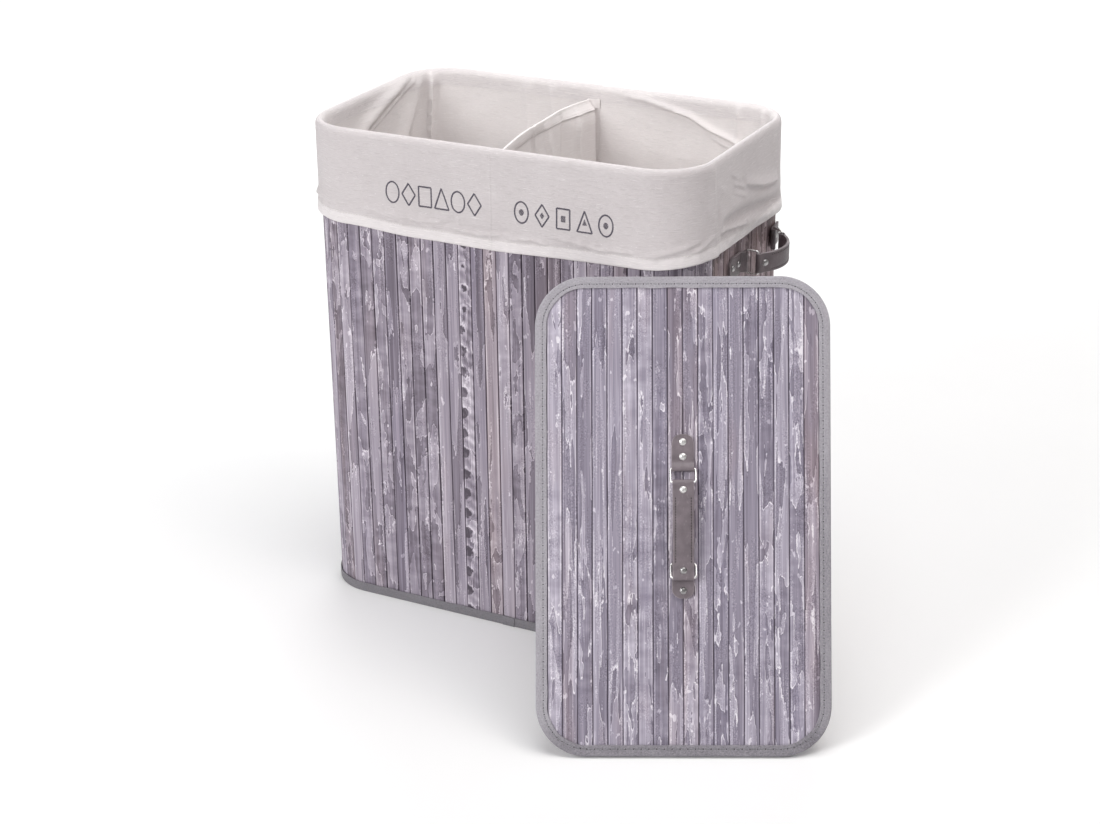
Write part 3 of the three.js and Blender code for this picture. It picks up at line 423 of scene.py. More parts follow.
def slat_material(name, stops, warm, cool, fine, gritty, dripping=0.0, edging=0.31, tinted=0.34,
                  ragged=0.13):
    """Washed bamboo: fibres, pale islands of wash with drying lines, granules and pale trails. fine
    makes its streaks narrower, and lower values of gritty and dripping spread granules and drips."""
    g = Graph(name, Roughness=0.62, Specular_IOR_Level=0.3)
    grain = g.layer("grain")
    across, height, _ = g.split(grain)
    tone, level, tint = g.split(g.layer("slat"))
    spotted, lobed, rim = g.split(g.layer("kind"))

    def noise(wide, tall, shift, detail=2.0, rough=0.5, bend=0.0):
        return g.noise(grain, (wide, tall, 1.0), detail, rough, bend, shift)

    def stray(*settings):
        return noise(*settings) - 0.5

    def line(value, half, soft):
        return g.between(g.maths("ABSOLUTE", value), half, half + soft, 1.0, 0.0)

    # The wash: islands with raised shores, by how far the noise is over each slat's own level
    fibre = noise(0.85, 0.010, 3.1, 3.0, 0.65)
    slow = stray(0.03, 0.0045, 31.0, 1.0)
    lobes = noise(0.080 * fine, 0.020, 47.0, 2.0, 0.5, 0.5)
    long = noise(0.085 * fine, 0.0080, 53.0, 2.0, 0.45, 0.3)
    choose = g.between(lobed + stray(0.006, 0.004, 61.0, 1.0) * 2.2, 0.35, 0.65)
    island = long + (lobes - long) * choose + stray(0.30, 0.17, 59.0, 3.0, 0.6) * ragged
    gap = island - (level + slow * 0.45)
    inside = g.between(gap, -0.005, 0.007)
    worn = g.between(noise(0.07, 0.035, 71.0), 0.40, 0.58, 0.25, 1.0)
    shore = line(gap - 0.011, 0.005, 0.009) * worn
    inner = line(gap - 0.070, 0.002, 0.008) * worn
    outer = line(gap + 0.012, 0.004, 0.011)

    # Granules, trails and drips
    gritty_place = g.between(noise(0.075 * fine, 0.016, 97.0), gritty, gritty + 0.08)
    grit = noise(0.80, 0.55, 103.0, 2.0, 0.7)
    speck, dent = g.between(grit, 0.56, 0.62), g.between(grit, 0.44, 0.38)
    trail = g.between(noise(0.20 * fine, 0.014, 107.0, 3.0, 0.6), 0.645 - dripping, 0.680 - dripping)
    trail = trail * g.between(grit, 0.40, 0.52)
    blob = g.between(noise(0.13, 0.070, 113.0), 0.70 - dripping, 0.73 - dripping)

    # The spotted slat: dark lobes every 26 mm with a pale halo under each, off its middle below 400 mm
    off = (g.maths("FRACT", (height + 4.0) / 26.0) - 0.5) * 26.0
    low = g.between(height, 400.0, 385.0)
    near = across + low * 5.6 + stray(0.02, 0.02, 127.0) * 5.0 + 1.2
    far = g.maths("SQRT", near * near + off * off) - low * 4.0
    far = far + stray(0.28, 0.22, 131.0) * 8.0 + stray(0.0, 0.045, 133.0, 0.0) * 5.0
    spot = g.between(far, 2.3, 3.1, 1.0, 0.0) * spotted
    halo = line(far - 4.7, 0.3, 1.5) * g.between(off, -4.0, 1.0, 0.35, 1.0) * spotted
    banding = (g.wave(height + across * 0.7, 13.0) * spotted - 0.5) * spotted
    pale_rim = line(rim - 1.4, 0.2, 0.5) * g.between(noise(0.02, 0.006, 139.0), 0.46, 0.52)

    value = tone
    for part, weight in (
        (fibre - 0.5, 0.36),
        (stray(0.24 * fine, 0.0055, 17.0), 0.58),
        (g.between(noise(0.42 * fine, 0.0050, 23.0, 1.0), 0.60, 0.68), 0.09),
        (slow, 0.25),
        (inside - 0.5, 0.20),
        (shore, edging),
        (inner, 0.08),
        (outer, -0.09),
        (stray(0.035, 0.062, 79.0, 2.0, 0.6) * choose, 0.55),
        (speck * gritty_place, 0.15),
        (dent * gritty_place, -0.16),
        (trail, 0.22),
        (blob, 0.28),
        (spot * g.between(height, 385.0, 420.0, 0.86, 1.0), -0.52),
        (halo, 0.27),
        (banding, 0.17),
        # Painted shade: each slat darkened at its edges, standing in for the shade in the gaps between
        # slats
        (g.between(rim, 0.95, 0.25), -0.18),
        (pale_rim, 0.20),
    ):
        value = value + part * weight
    drift = tint + stray(0.05, 0.007, 149.0) * 0.9
    warmer = g.between(drift, 0.56, 1.60, 0.0, 2.1 * tinted, "LINEAR")
    cooler = g.between(drift, 0.44, 0.0, 0.0, 0.20, "LINEAR")
    colour = g.mix(warmer, g.ramp(value, *stops), warm, "SOFT_LIGHT")
    colour = g.mix(cooler, colour, cool, "SOFT_LIGHT")
    relief = fibre * 0.4 + inside * 0.25 + shore * 0.35 + grit * gritty_place * 0.6
    relief = relief + g.maths("MAXIMUM", blob, trail) * 0.5 - spot * 0.5
    return g.done(colour, relief, 0.00022, 0.9, g.between(value, 0.1, 0.9, 0.52, 0.74, "LINEAR"))


def woven_material(name, base, dark, pitch=0.9, mottle=0.5):
    """Close plain weave of a binding tape."""
    g = Graph(name, Roughness=0.88, Specular_IOR_Level=0.2, Sheen_Weight=0.15, Sheen_Roughness=0.5)
    weave = g.layer("weave")
    run, across, darkening = g.split(weave)
    over = g.maths("MAXIMUM", g.wave(run, pitch) * 0.8, g.wave(across, pitch * 0.8))
    worn = g.noise(weave, (0.42, 0.55, 1.0), 4.0, 0.75)
    cloud = g.noise(weave, (0.03, 0.10, 1.0), shift=5)
    thread = g.noise(weave, (0.12, 2.2, 1.0), 2.0, 0.6)
    fleck = g.between(g.noise(weave, (0.75, 1.1, 1.0), 1.0, shift=8), 0.60, 0.70)
    value = worn * mottle + thread * 0.30 + cloud * 0.18 + over * 0.16 - fleck * 0.16 - darkening
    colour = g.ramp(value, (0.10, shade(70, 66, 72)), (0.30, dark), (0.82, base))
    return g.done(colour, over + worn * 1.2, 0.00022, 0.8)


def linen_material(name, base, dark, pale):
    """Unbleached cotton and linen cloth with thicker threads along the weft."""
    g = Graph(name, Roughness=0.92, Specular_IOR_Level=0.15, Sheen_Weight=0.25, Sheen_Roughness=0.6)
    weave = g.layer("weave")
    run, across, doubled_and_painted_light = g.split(weave)
    over = g.maths("MAXIMUM", g.wave(run, 0.85) * 0.85, g.wave(across, 0.75))
    thick = g.between(g.noise(weave, (0.045, 1.00, 1.0), 2.0, 0.55), 0.57, 0.67)
    thin = g.between(g.noise(weave, (0.055, 0.85, 1.0), 2.0, 0.55, shift=9), 0.41, 0.31)
    fine = g.noise(weave, (0.16, 1.9, 1.0), 2.0, 0.6)
    knot = g.between(g.noise(weave, (0.30, 0.62, 6.0), 1.0), 0.70, 0.76)
    cloud = g.noise(weave, (0.013, 0.02, 1.0))
    value = fine * 0.36 + cloud * 0.20 + thick * 0.26 - thin * 0.15 + knot * 0.30 + over * 0.07
    # The third weave value lightens the cloth, partly for doubled cloth and partly as painted light
    colour = g.ramp(value + doubled_and_painted_light * 0.34, (0.02, dark), (0.62, base), (0.95, pale))
    return g.done(colour, over * 0.5 + thick * 1.1 + fine * 0.6, 0.00022, 0.75)


def leather_material(name, base, dark, light):
    g = Graph(name, Roughness=0.5, Specular_IOR_Level=0.55)
    place = g.place()
    inputs = {"Vector": place, "Scale": 1500.0}
    cell = g.value("ShaderNodeTexVoronoi", inputs, "Distance", feature="DISTANCE_TO_EDGE")
    cloud = g.noise(place, (60, 60, 60), 3.0, 0.6)
    scuff = g.between(g.noise(place, (420, 420, 90)), 0.62, 0.74)
    edge = g.split(g.layer("edge"))[0]
    worn = g.between(edge, 0.72, 0.95) * g.between(cloud, 0.35, 0.6, 0.5, 1.0)
    colour = g.mix(scuff * 0.25, g.ramp(cloud, (0.3, dark), (0.7, base)), light)
    colour = g.mix(worn * 0.62, colour, light)
    return g.done(colour, g.between(cell, 0.0, 0.10), 0.00006, 0.5, g.between(cloud, 0.3, 0.7, 0.36, 0.48))


def metal_material(name, base, roughness):
    g = Graph(name, Metallic=1.0, Roughness=roughness)
    place = g.place()
    cloud = g.noise(place, (220, 220, 220), 3.0, 0.6)
    colour = g.ramp(cloud, (0.3, tuple(c * 0.86 for c in base[:3]) + (1.0,)), (0.7, base))
    uneven = g.between(g.noise(place, (900, 900, 120)), 0.3, 0.7, roughness * 0.7, roughness * 1.4)
    return g.done(colour, cloud, 0.00002, 0.4, uneven)


def board_material(name, base, dark):
    g = Graph(name, Roughness=0.85, Specular_IOR_Level=0.25)
    place = g.place()
    chip = g.noise(place, (900, 260, 900), 4.0, 0.7)
    value = chip * 0.65 + g.noise(place, (40, 14, 40)) * 0.35
    return g.done(g.ramp(value, (0.3, dark), (0.7, base)), chip, 0.0001, 0.6)


def thread_material(name, base, dark):
    g = Graph(name, Roughness=0.6, Specular_IOR_Level=0.3, Sheen_Weight=0.2, Sheen_Roughness=0.4)
    twist = g.noise(g.place(), (2600, 2600, 2600), 2.0, 0.6)
    return g.done(g.ramp(twist, (0.35, dark), (0.65, base)), twist, 0.0001, 0.5)


def shades(*colours):
    return [shade(*colour) for colour in colours]


STOP_PLACES = (0.04, 0.28, 0.50, 0.72, 0.98)
WALL_SHADES = shades((84, 76, 86), (118, 109, 121), (150, 141, 154), (182, 173, 185), (224, 217, 225))
LID_SHADES = shades((94, 88, 102), (124, 117, 132), (152, 145, 160), (188, 181, 195), (230, 225, 232))
wall_wash = slat_material(
    "washed_wall_slats", list(zip(STOP_PLACES, WALL_SHADES)), *shades((196, 168, 128), (128, 132, 176)),
    1.0, 0.53)
lid_wash = slat_material(
    "washed_lid_slats", list(zip(STOP_PLACES, LID_SHADES)), *shades((200, 168, 134), (126, 132, 184)),
    1.4, 0.47, 0.035, 0.36, 0.5, 0.08)
lid_weave = woven_material("lid_binding", *shades((186, 182, 189), (118, 114, 121)), 0.9, 0.7)
base_weave = woven_material("base_binding", *shades((150, 147, 152), (98, 95, 101)), 1.1)
backing_weave = woven_material("backing_cloth", *shades((112, 104, 112), (74, 68, 76)), 1.4)
linen = linen_material("liner_linen", *shades((224, 218, 219), (184, 176, 177), (247, 242, 241)))
# Painted light: the bag, its floor and the divider take a lighter copy of the liner's linen, standing in
# for light inside the bins
bag_linen_painted_light = linen_material("bag_linen_painted_light", *shades((249, 245, 244), (228, 221, 220), (255, 253, 252)))
leather = leather_material("taupe_leather", *shades((128, 117, 123), (102, 93, 98), (172, 162, 166)))
# Painted shade: the end handles take the same taupe leather made darker, standing in for the shade they sit
# in
shaded_end_leather = leather_material("taupe_leather_painted_shade", *shades((108, 97, 101), (82, 74, 77), (158, 148, 152)))
nickel = metal_material("nickel", (0.93, 0.92, 0.91, 1.0), 0.27)
# Painted light and shade: two copies of the rivets' nickel, a darker one for rivets in shade and a paler
# one for the lit rivets on the lid
stud_painted_shade = metal_material("stud_painted_shade", (0.44, 0.43, 0.43, 1.0), 0.30)
stud_painted_light = metal_material("stud_painted_light", (0.86, 0.85, 0.84, 1.0), 0.42)
steel = metal_material("wire_steel", (0.45, 0.46, 0.47, 1.0), 0.4)
board = board_material("fibre_board", *shades((160, 138, 106), (112, 92, 66)))
lid_core = board_material("lid_core_board", *shades((132, 124, 134), (96, 90, 98)))
grey_thread = thread_material("grey_thread", *shades((112, 106, 118), (76, 72, 82)))
pale_thread = thread_material("pale_thread", *shades((226, 220, 214), (176, 170, 164)))
dark_thread = thread_material("dark_thread", *shades((70, 64, 62), (44, 40, 39)))
tape_thread = thread_material("tape_thread", *shades((140, 142, 144), (86, 88, 90)))
# Painted shade: the needle holes are dark discs standing in for the shade inside them
hole_shade = thread_material("needle_hole", *shades((52, 50, 52), (30, 29, 30)))


# ---------------------------------------------------------------- slats

def slat(heap, corners, low_high, rng, thick, rows, mood=None, spotted=0.0, groove=0.7, spread=1.0,
         lift=0.0, warmth=0.0):
    """One slat: corners are its two outer edges in plan with the outward direction, low_high gives
    its ends at each share across, and it runs along the third axis. mood is its tone, how much of
    it stays bare, its tint, and how lobed its wash is."""
    start, end, out = np.asarray(corners, float)
    middle, side = (start + end) / 2, unit(end - start)
    share = np.array([-1, -1, -0.985, -0.93, -0.80, -0.45, 0, 0.45, 0.80, 0.93, 0.985, 1, 1])
    sunk = np.array([thick, 0.95, 0.5, 0.16, 0.03, 0, 0, 0, 0.03, 0.16, 0.5, 0.95, thick])
    crown = rng.uniform(0.02, 0.14) * (1 - share ** 2)
    face = sunk < thick
    sunk = sunk - crown + rng.uniform(0.0, 0.35) * face
    half = np.linalg.norm(end - start) / 2 - groove / 2 * rng.uniform(0.7, 1.3)
    phases = rng.uniform(0, 2 * math.pi, 4)
    sizes = rng.uniform(0.5, 1.0, 3)
    low, high = low_high(share * half)
    along = low + (high - low) * np.linspace(0, 1, rows)[:, None]
    wobble = 0.13 * np.sin(along / 41 * sizes[0] + phases[0])
    wobble = wobble + 0.08 * np.sin(along / 17 * sizes[1] + phases[1])
    across = share * half + wobble * np.sign(share) * (abs(share) > 0.5)
    uneven = 0.07 * np.sin(along / 63 * sizes[2] + phases[2]) + 0.05 * np.sin(along / 23 + phases[3])
    depth = sunk + uneven * face
    tone = np.clip(rng.normal(0.47 + lift, 0.05 * spread), 0.34, 0.62)
    levels = [rng.uniform(a, b) for a, b in ((0.45, 0.53), (0.34, 0.42), (0.55, 0.62))]
    level = rng.choice(levels, p=[0.64, 0.2, 0.16])
    tints = [0.5, rng.uniform(0.30, 0.45), rng.uniform(0.55, 0.75)]
    tint = rng.choice(tints, p=[0.6, 0.2, 0.2]) + warmth
    lobed = rng.uniform(0, 1)
    tone, level, tint, lobed = mood or (tone, level, tint, lobed)
    heap.add(
        triple(*(middle[i] + side[i] * across - out[i] * depth for i in (0, 1)), along), False,
        grain=triple(across, along, rng.uniform(0, 900)),
        slat=np.broadcast_to([tone, level, tint], (*along.shape, 3)),
        kind=triple(spotted, lobed, np.broadcast_to(half - abs(share * half), along.shape)),
    )


# The slats with dark lobes, the walls with darker, browner slats (their own tone and painted shade), and
# the moods of the front's slats from the left
SPOTTED = (("front_wall", 9), ("back_wall", 4), ("right_wall", 6))
PAINTED_SHADE_WALLS = ("right_wall", "corner_wall_back_right")
FRONT_MOODS = (
    None, (0.49, 0.46, 0.56, 0.3), (0.49, 0.48, 0.50, 1.0), (0.43, 0.52, 0.38, 0.0),
    (0.47, 0.50, 0.50, 1.0), (0.45, 0.51, 0.54, 1.0), (0.47, 0.49, 0.50, 1.0), (0.50, 0.43, 0.54, 0.0),
    (0.48, 0.47, 0.44, 0.1), (0.49, 0.47, 0.50, 1.0), (0.44, 0.50, 0.36, 0.4), (0.50, 0.44, 0.90, 0.3),
    (0.53, 0.38, 0.58, 0.2), (0.46, 0.50, 0.48, 1.0), (0.43, 0.52, 0.50, 0.1), (0.38, 0.54, 0.72, 0.0),
)


def wall_panel(name, node, low, high, count, seed):
    """The slats of one wall or of one rounded corner, between two runs."""
    heap, rng = Heap(), np.random.default_rng(seed)
    outline, _ = body_loop.at(np.linspace(low, high - 1e-6, count + 1))
    # Painted shade: these walls get darker, browner slats, partly their own browner tone and partly shade
    # painted into the colour
    lift, warmth = (-0.10, 0.8) if name in PAINTED_SHADE_WALLS else (0.0, 0.0)
    for i, (start, end) in enumerate(zip(outline[:-1], outline[1:])):
        x, y = unit(end - start)
        mood = FRONT_MOODS[i] if name == "front_wall" and i < len(FRONT_MOODS) else None
        slat(
            heap, (start, end, (y, -x)), lambda across: (SLAT_LOW + 0 * across, SLAT_HIGH + 0 * across),
            rng, SLAT_THICK, SLAT_ROWS, mood, float((name, i) in SPOTTED), lift=lift, warmth=warmth,
        )
    piece(heap.build(name), "hamper", "wall_slats", wall_wash, node)


def build_wall():
    for i, side in enumerate(("right", "back", "left", "front")):
        count = FRONT_SLATS if side in ("front", "back") else END_SLATS
        edges = body_loop.edges[2 * i + 1:2 * i + 3]
        wall_panel(f"{side}_wall", f"{side}_slats", *edges, count, 41 + 2 * i)
    for i, side in enumerate(("front_right", "back_right", "back_left", "front_left")):
        edges = body_loop.edges[2 * i:2 * i + 2]
        wall_panel(f"corner_wall_{side}", f"corner_slats_{side}", *edges, CORNER_SLATS, 60 + i)


build_wall()


# ---------------------------------------------------------------- tapes, backing, board

def folded_tape(outer, inner, fold_at, open_at, thick=1.0, soft=0.9):
    """Cross section of a tape folded over an edge, as depths and heights."""
    middle, inside = (open_at + fold_at) / 2, fold_at + math.copysign(thick, open_at - fold_at)
    return rounded([
        (outer, open_at), (outer, middle), (outer, fold_at), (inner, fold_at), (inner, middle),
        (inner, open_at), (inner - thick, open_at), (inner - thick, inside), (outer + thick, inside),
        (outer + thick, open_at),
    ], soft)


def lapped_runs(loop, step, lap):
    """Runs of a tape from one end to the other, which stops just short of it."""
    return np.append(even_runs(loop, step, lap), lap + loop.length - 0.3)


def build_bands():
    run = lapped_runs(body_loop, 4.0, TAPE_LAP)
    for name, node, slot, fold_at, open_at, material in (
        ("base_binding", "base_tape", "base_tape", 0.0, BASE_TAPE_HIGH, base_weave),
        ("rim_binding", "rim_tape", "lid_tape", RIM_TAPE_HIGH, RIM_TAPE_LOW, lid_weave),
    ):
        depth, height = folded_tape(-1.3, 5.8, fold_at, open_at).T
        near_edge = np.clip((height - fold_at) / (open_at - fold_at), 0, 1) ** 3
        wave = unevenness(run[:, None], 0.0, 5, 45, 100)
        height = height + near_edge * wave * 0.45
        depth = depth - (depth < 0) * near_edge * 0.12 * (1 + wave)
        piece(band(name, body_loop, run, depth, height), "hamper", slot, material, node)
    lap = rounded([(-1.35, 0.2), (-1.35, 11.8), (-2.1, 11.8), (-2.1, 0.2)], 0.4)
    lap_run = np.linspace(TAPE_LAP - 8, TAPE_LAP + 8, 9)
    points = body_loop.ring(lap_run, *lap.T)
    weave = triple(lap_run[:, None] + 0.4, travel(points), 0.0)
    piece(solid("base_binding_lap", points, False, weave=weave), "hamper", "base_tape", base_weave)
    near, far = BACKING_DEPTHS
    profile = rounded([(near, SLAT_LOW), (near, SLAT_HIGH), (far, SLAT_HIGH), (far, SLAT_LOW)], 0.3, 1)
    cloth = band("backing", body_loop, run, *profile.T)
    piece(cloth, "hamper", "backing_cloth", backing_weave, "wall_backing")
    plate("bottom_board", 6.1, 0.0, 4.0, "hamper", "board", board, ["base_board"])
    return cloth


backing = build_bands()


# ---------------------------------------------------------------- cuff

# Creases of the cuff, the bag and the divider: the runs and heights of a line, the crease's width,
# its rise, and how wide its right side is as a share of that width
CUFF_CREASES = (
    (((172, 548), (190, 542), (214, 535), (240, 530), (268, 527)), 9.0, 4.6, 0.16),
    (((132, 570), (146, 563), (162, 555)), 5.0, 1.2, 0.35),
    (((140, 556), (156, 550), (172, 543)), 4.6, 1.6, 0.3),
    (((138, 547), (154, 541), (172, 533)), 4.2, 1.2, 0.4),
    (((100, 530), (142, 532), (171, 530), (207, 524), (241, 518), (284, 516)), 14.0, 3.8, 0.55),
    (((112, 520), (157, 517), (202, 510), (248, 505), (284, 502)), 6.0, -4.2, 0.9),
    (((118, 496), (160, 502), (205, 499), (250, 494), (282, 494)), 9.0, 4.4, 0.7),
    (((104, 510), (115, 511), (132, 509), (154, 506), (172, 503)), 3.2, 3.4, 0.3),
    (((89, 440), (90, 514), (89, 560), (88, 640)), 7.0, 1.7, 0.3),
    (((96, 570), (112, 556), (132, 546)), 5.0, 0.8, 1.0),
    (((1250, 496), (1282, 493), (1312, 497)), 2.8, 1.8, 0.4),
    (((1214, 503), (1262, 500), (1296, 499), (1326, 503)), 3.4, -1.2, 0.8),
    (((1322, 493), (1348, 497), (1370, 494)), 2.6, 2.0, 0.4),
    (((1376, 504), (1410, 500), (1440, 496)), 3.6, 1.7, 0.4),
    (((1426, 496), (1450, 499), (1476, 499)), 2.8, 1.8, 0.4),
    (((1180, 501), (1206, 498), (1240, 502)), 2.8, 1.6, 0.4),
    (((1130, 505), (1156, 501), (1178, 496)), 3.2, 1.6, 0.4),
    (((1, 496), (22, 500), (44, 506), (66, 512)), 4.0, 1.5, 0.5),
    (((10, 490), (30, 495), (58, 502)), 3.0, -0.6, 1.0),
    (((46, 498), (70, 504), (88, 514)), 3.0, 1.6, 0.5),
    (((332, 545), (352, 530), (372, 508)), 4.0, 3.0, 0.4),
    (((372, 520), (420, 528), (470, 524), (520, 530)), 5.5, 3.4, 0.4),
    (((430, 502), (480, 499), (540, 503)), 3.4, 2.2, 0.5),
    (((560, 512), (610, 506), (660, 512), (706, 510)), 5.0, 2.8, 0.5),
    (((744, 548), (766, 530), (782, 508)), 4.0, 2.6, 0.4),
    (((780, 524), (812, 512), (850, 510)), 5.0, 3.0, 0.4),
    (((860, 541), (900, 530), (960, 533)), 5.0, 3.6, 0.35),
    (((868, 503), (920, 499), (980, 502)), 3.6, 2.4, 0.5),
    (((996, 512), (1040, 505), (1074, 510)), 4.4, 2.4, 0.5),
    (((FRONT_JOIN, 640), (FRONT_JOIN, 440)), 0.9, 0.45, 1.0),
    (((BACK_JOIN, 640), (BACK_JOIN, 440)), 0.9, 0.45, 1.0),
)
BAG_CREASES = (
    (((806, 420), (802, 490), (796, 540), (792, 575), (790, 680)), 8.0, 7.5, 0.14),
    (((790, 640), (818, 601), (850, 590), (888, 577), (934, 559), (980, 530)), 10.0, 7.0, 0.8),
    (((815, 640), (812, 586), (826, 556), (850, 524), (886, 480)), 15.0, 6.0, 0.6),
    (((808, 640), (822, 586), (862, 571), (898, 557), (930, 545)), 2.6, 2.2, 0.5),
    (((612, 470), (617, 550), (620, 580), (622, 660)), 9.0, 2.6, 0.4),
    (((655, 440), (650, 520), (654, 570), (660, 650)), 10.0, 2.0, 0.6),
    (((330, 522), (356, 538), (382, 549), (408, 558), (434, 571), (460, 577), (492, 584), (520, 586)),
     4.6, 4.4, 0.28),
    (((366, 530), (384, 540), (404, 549)), 3.0, 2.4, 0.4),
    (((368, 480), (372, 550), (374, 590), (376, 660)), 6.0, 3.0, 0.35),
    (((330, 520), (334, 580), (331, 640)), 6.0, 3.4, 0.4),
    (((300, 640), (305, 560), (312, 500)), 8.0, 3.0, 0.5),
    (((1080, 640), (1070, 540), (1064, 460)), 10.0, 4.0, 0.5),
    (((60, 640), (54, 540), (50, 440)), 10.0, 4.0, 0.5),
)
DIVIDER_CREASES = (
    (((330, 575), (338, 520), (342, 420)), 9.0, 4.0, 0.5),
    (((372, 575), (366, 520), (360, 430)), 8.0, -4.5, 0.6),
    (((405, 578), (398, 540), (394, 440)), 7.0, 4.5, 0.5),
    (((296, 574), (300, 520), (306, 440)), 10.0, -3.0, 0.6),
    (((316, 480), (308, 530), (302, 566), (301, 640)), 4.0, 3.6, 0.4),
    (((437, 300), (437, 640)), 2.6, -9.0, 1.0),
)


def cuff_folds(run, height):
    """How far the cuff's cloth stands out from its plain shape, in millimetres."""
    fall = np.clip((CUFF_SPRING - height) / 95, 0, 1)
    near_hem = np.exp(-((height - HEM_HEIGHT - 15) / 10) ** 2)
    return (
        unevenness(run, height, 11, 120, 150) * 0.75 * fall
        + unevenness(run, height, 12, 38, 46) * 0.24 * fall
        + unevenness(run, height, 13, 9, 60) * 0.10 * np.exp(-((height - 588) / 9) ** 2)
        + unevenness(run, height, 14, 24, 26) * 0.55 * near_hem
        + folds(run, height, CUFF_CREASES)
    )


def bag_folds(run, height):
    """How far the bag's cloth stands in from the wall, in millimetres."""
    free = np.clip((SEAM_HEIGHT - height) / 60, 0, 1) * np.clip((height - 6) / 40, 0, 1)
    total = (
        (1 + unevenness(run, height, 21, 240, 260)) * 1.6 * free
        + unevenness(run, height, 22, 70, 120) * 0.7 * free
        + unevenness(run, height, 24, 30, 60) * 0.25 * free
        + (1 + unevenness(run, height, 23, 9, 40)) * 0.14 * np.exp(-((height - 580) / 8) ** 2)
        + folds(run, height, BAG_CREASES) * np.clip((RIM_TOP - height) / 14, 0, 1)
    )
    return np.maximum(total, -0.05)


def cuff_middle(run):
    """The middle of the cuff's cloth, from the seam inside to the hem: depths, heights, thicknesses."""
    hem = (HEM_HEIGHT - HEM_WAVE * (station_value(HEM_DROP, run) - 0.5))[:, None]
    flare = HEM_FLARE * station_value(HEM_OUT, run)[:, None]
    rise, drop, turned = np.linspace(0, 1, 6)[:-1], np.linspace(0, 1, 74)[1:], np.linspace(0, 1, 8)[1:]
    angle = np.linspace(0, math.pi, 18)
    inner, band_top = BAG_DEPTH + CUFF_PLUMP, hem + HEM_BAND
    middle, reach = (inner - CUFF_OUT) / 2, (inner + CUFF_OUT) / 2
    parts = (
        (BAG_DEPTH + 0.25 + (CUFF_PLUMP - 0.25) * smooth(rise),
         SEAM_HEIGHT - 5 + (CUFF_SPRING - SEAM_HEIGHT + 5) * rise),
        (middle + reach * np.cos(angle), CUFF_SPRING + CUFF_RISE * np.sin(angle)),
        (-CUFF_OUT - 0.62 * flare * drop ** 2.6, CUFF_SPRING + (band_top - CUFF_SPRING) * drop),
        (-CUFF_OUT - flare * (0.62 + 0.38 * turned) - 0.5 * turned, band_top + (hem - band_top) * turned),
    )
    depth, height = (
        np.concatenate([np.broadcast_to(values, (len(run), values.shape[-1])) for values in kind], 1)
        for kind in zip(*parts)
    )
    column = np.arange(height.shape[1])
    thick = CLOTH_HALF + 0.55 * np.clip((band_top + 0.8 - height) / 1.6, 0, 1) * (column > CUFF_OUTSIDE)
    outside = np.clip((column - CUFF_OUTSIDE + 9) / 8, 0, 1)
    depth = depth - cuff_folds(run[:, None], height) * outside
    clear = CLEAR_SLATS + (CLEAR_TAPE - CLEAR_SLATS) * smooth((height - RIM_TAPE_LOW + 8) / 8)
    depth = np.where(outside > 0.9, np.minimum(depth, -clear), depth)
    return depth + bag_folds(run[:, None], height) * (column < CUFF_APEX), height, thick


def cuff_surfaces(run):
    """Depths and heights of the cuff's outer and inner faces."""
    depth, height, thick = cuff_middle(run)
    along_depth, along_height = np.gradient(depth, axis=1), np.gradient(height, axis=1)
    size = np.hypot(along_depth, along_height)
    out_depth, out_height = along_height / size * thick, -along_depth / size * thick
    return (depth + out_depth, height + out_height), (depth - out_depth, height - out_height)


def mirrored(values):
    return np.concatenate([values, values[..., ::-1]], -1)


def build_cuff():
    run = joined_runs(body_loop, 2.1)
    outer, inner = cuff_surfaces(run)
    tip = [(a[:, -1:] + b[:, -1:]) / 2 - drop for a, b, drop in zip(outer, inner, (0.0, 0.7))]
    depth, height = (np.concatenate([a, t, b[:, ::-1]], 1) for a, t, b in zip(outer, tip, inner))
    points = body_loop.ring(run, depth, height)
    columns = outer[0].shape[1]
    along = travel(points[:, :columns])
    across = np.concatenate([along, along[:, -1:] + 0.7, along[:, ::-1]], 1)
    # The third weave value lightens the cloth: on the turned hem partly for its doubled cloth and partly as
    # painted light, on the inner side as painted light matching the bag
    hem = np.clip((across - across[:, columns - 9:columns - 8]) / 2, 0, 1) * np.clip(height < 520, 0, 1)
    inside = 1.3 * (1 - smooth((np.arange(columns) - 8) / 12))
    hem = np.maximum(hem, np.concatenate([inside, [0], inside[::-1]]))
    made = solid("cuff", points, sharp=80, weave=triple(run[:, None], across, hem))
    return piece(made, "liner", "linen", linen, "liner_cuff")


cuff = build_cuff()


# ---------------------------------------------------------------- bag and divider

def build_bag():
    run = joined_runs(body_loop, 2.3)
    height = np.concatenate([np.linspace(BAG_LOW, 480, 96)[:-1], np.linspace(480, SEAM_HEIGHT, 72)])
    turn = np.clip((14 - height) / 9, 0, 1)
    depth = BAG_DEPTH + bag_folds(run[:, None], height)
    depth = depth + 8 * (1 - np.sqrt(1 - np.minimum(turn, 0.999) ** 2))
    both = np.concatenate([depth - CLOTH_HALF, (depth + CLOTH_HALF)[:, ::-1]], 1)
    points = body_loop.ring(run, both, mirrored(height))
    weave = triple(run[:, None], mirrored(travel(points[:, :len(height)])), 0.0)
    made = piece(solid("bag", points, sharp=80, weave=weave), "liner", "linen", bag_linen_painted_light, "liner_bag")
    return made, plate("bag_floor", 13.2, 4.5, 5.5, "liner", "linen", bag_linen_painted_light, [], soft=0.4)


bag, bag_floor = build_bag()


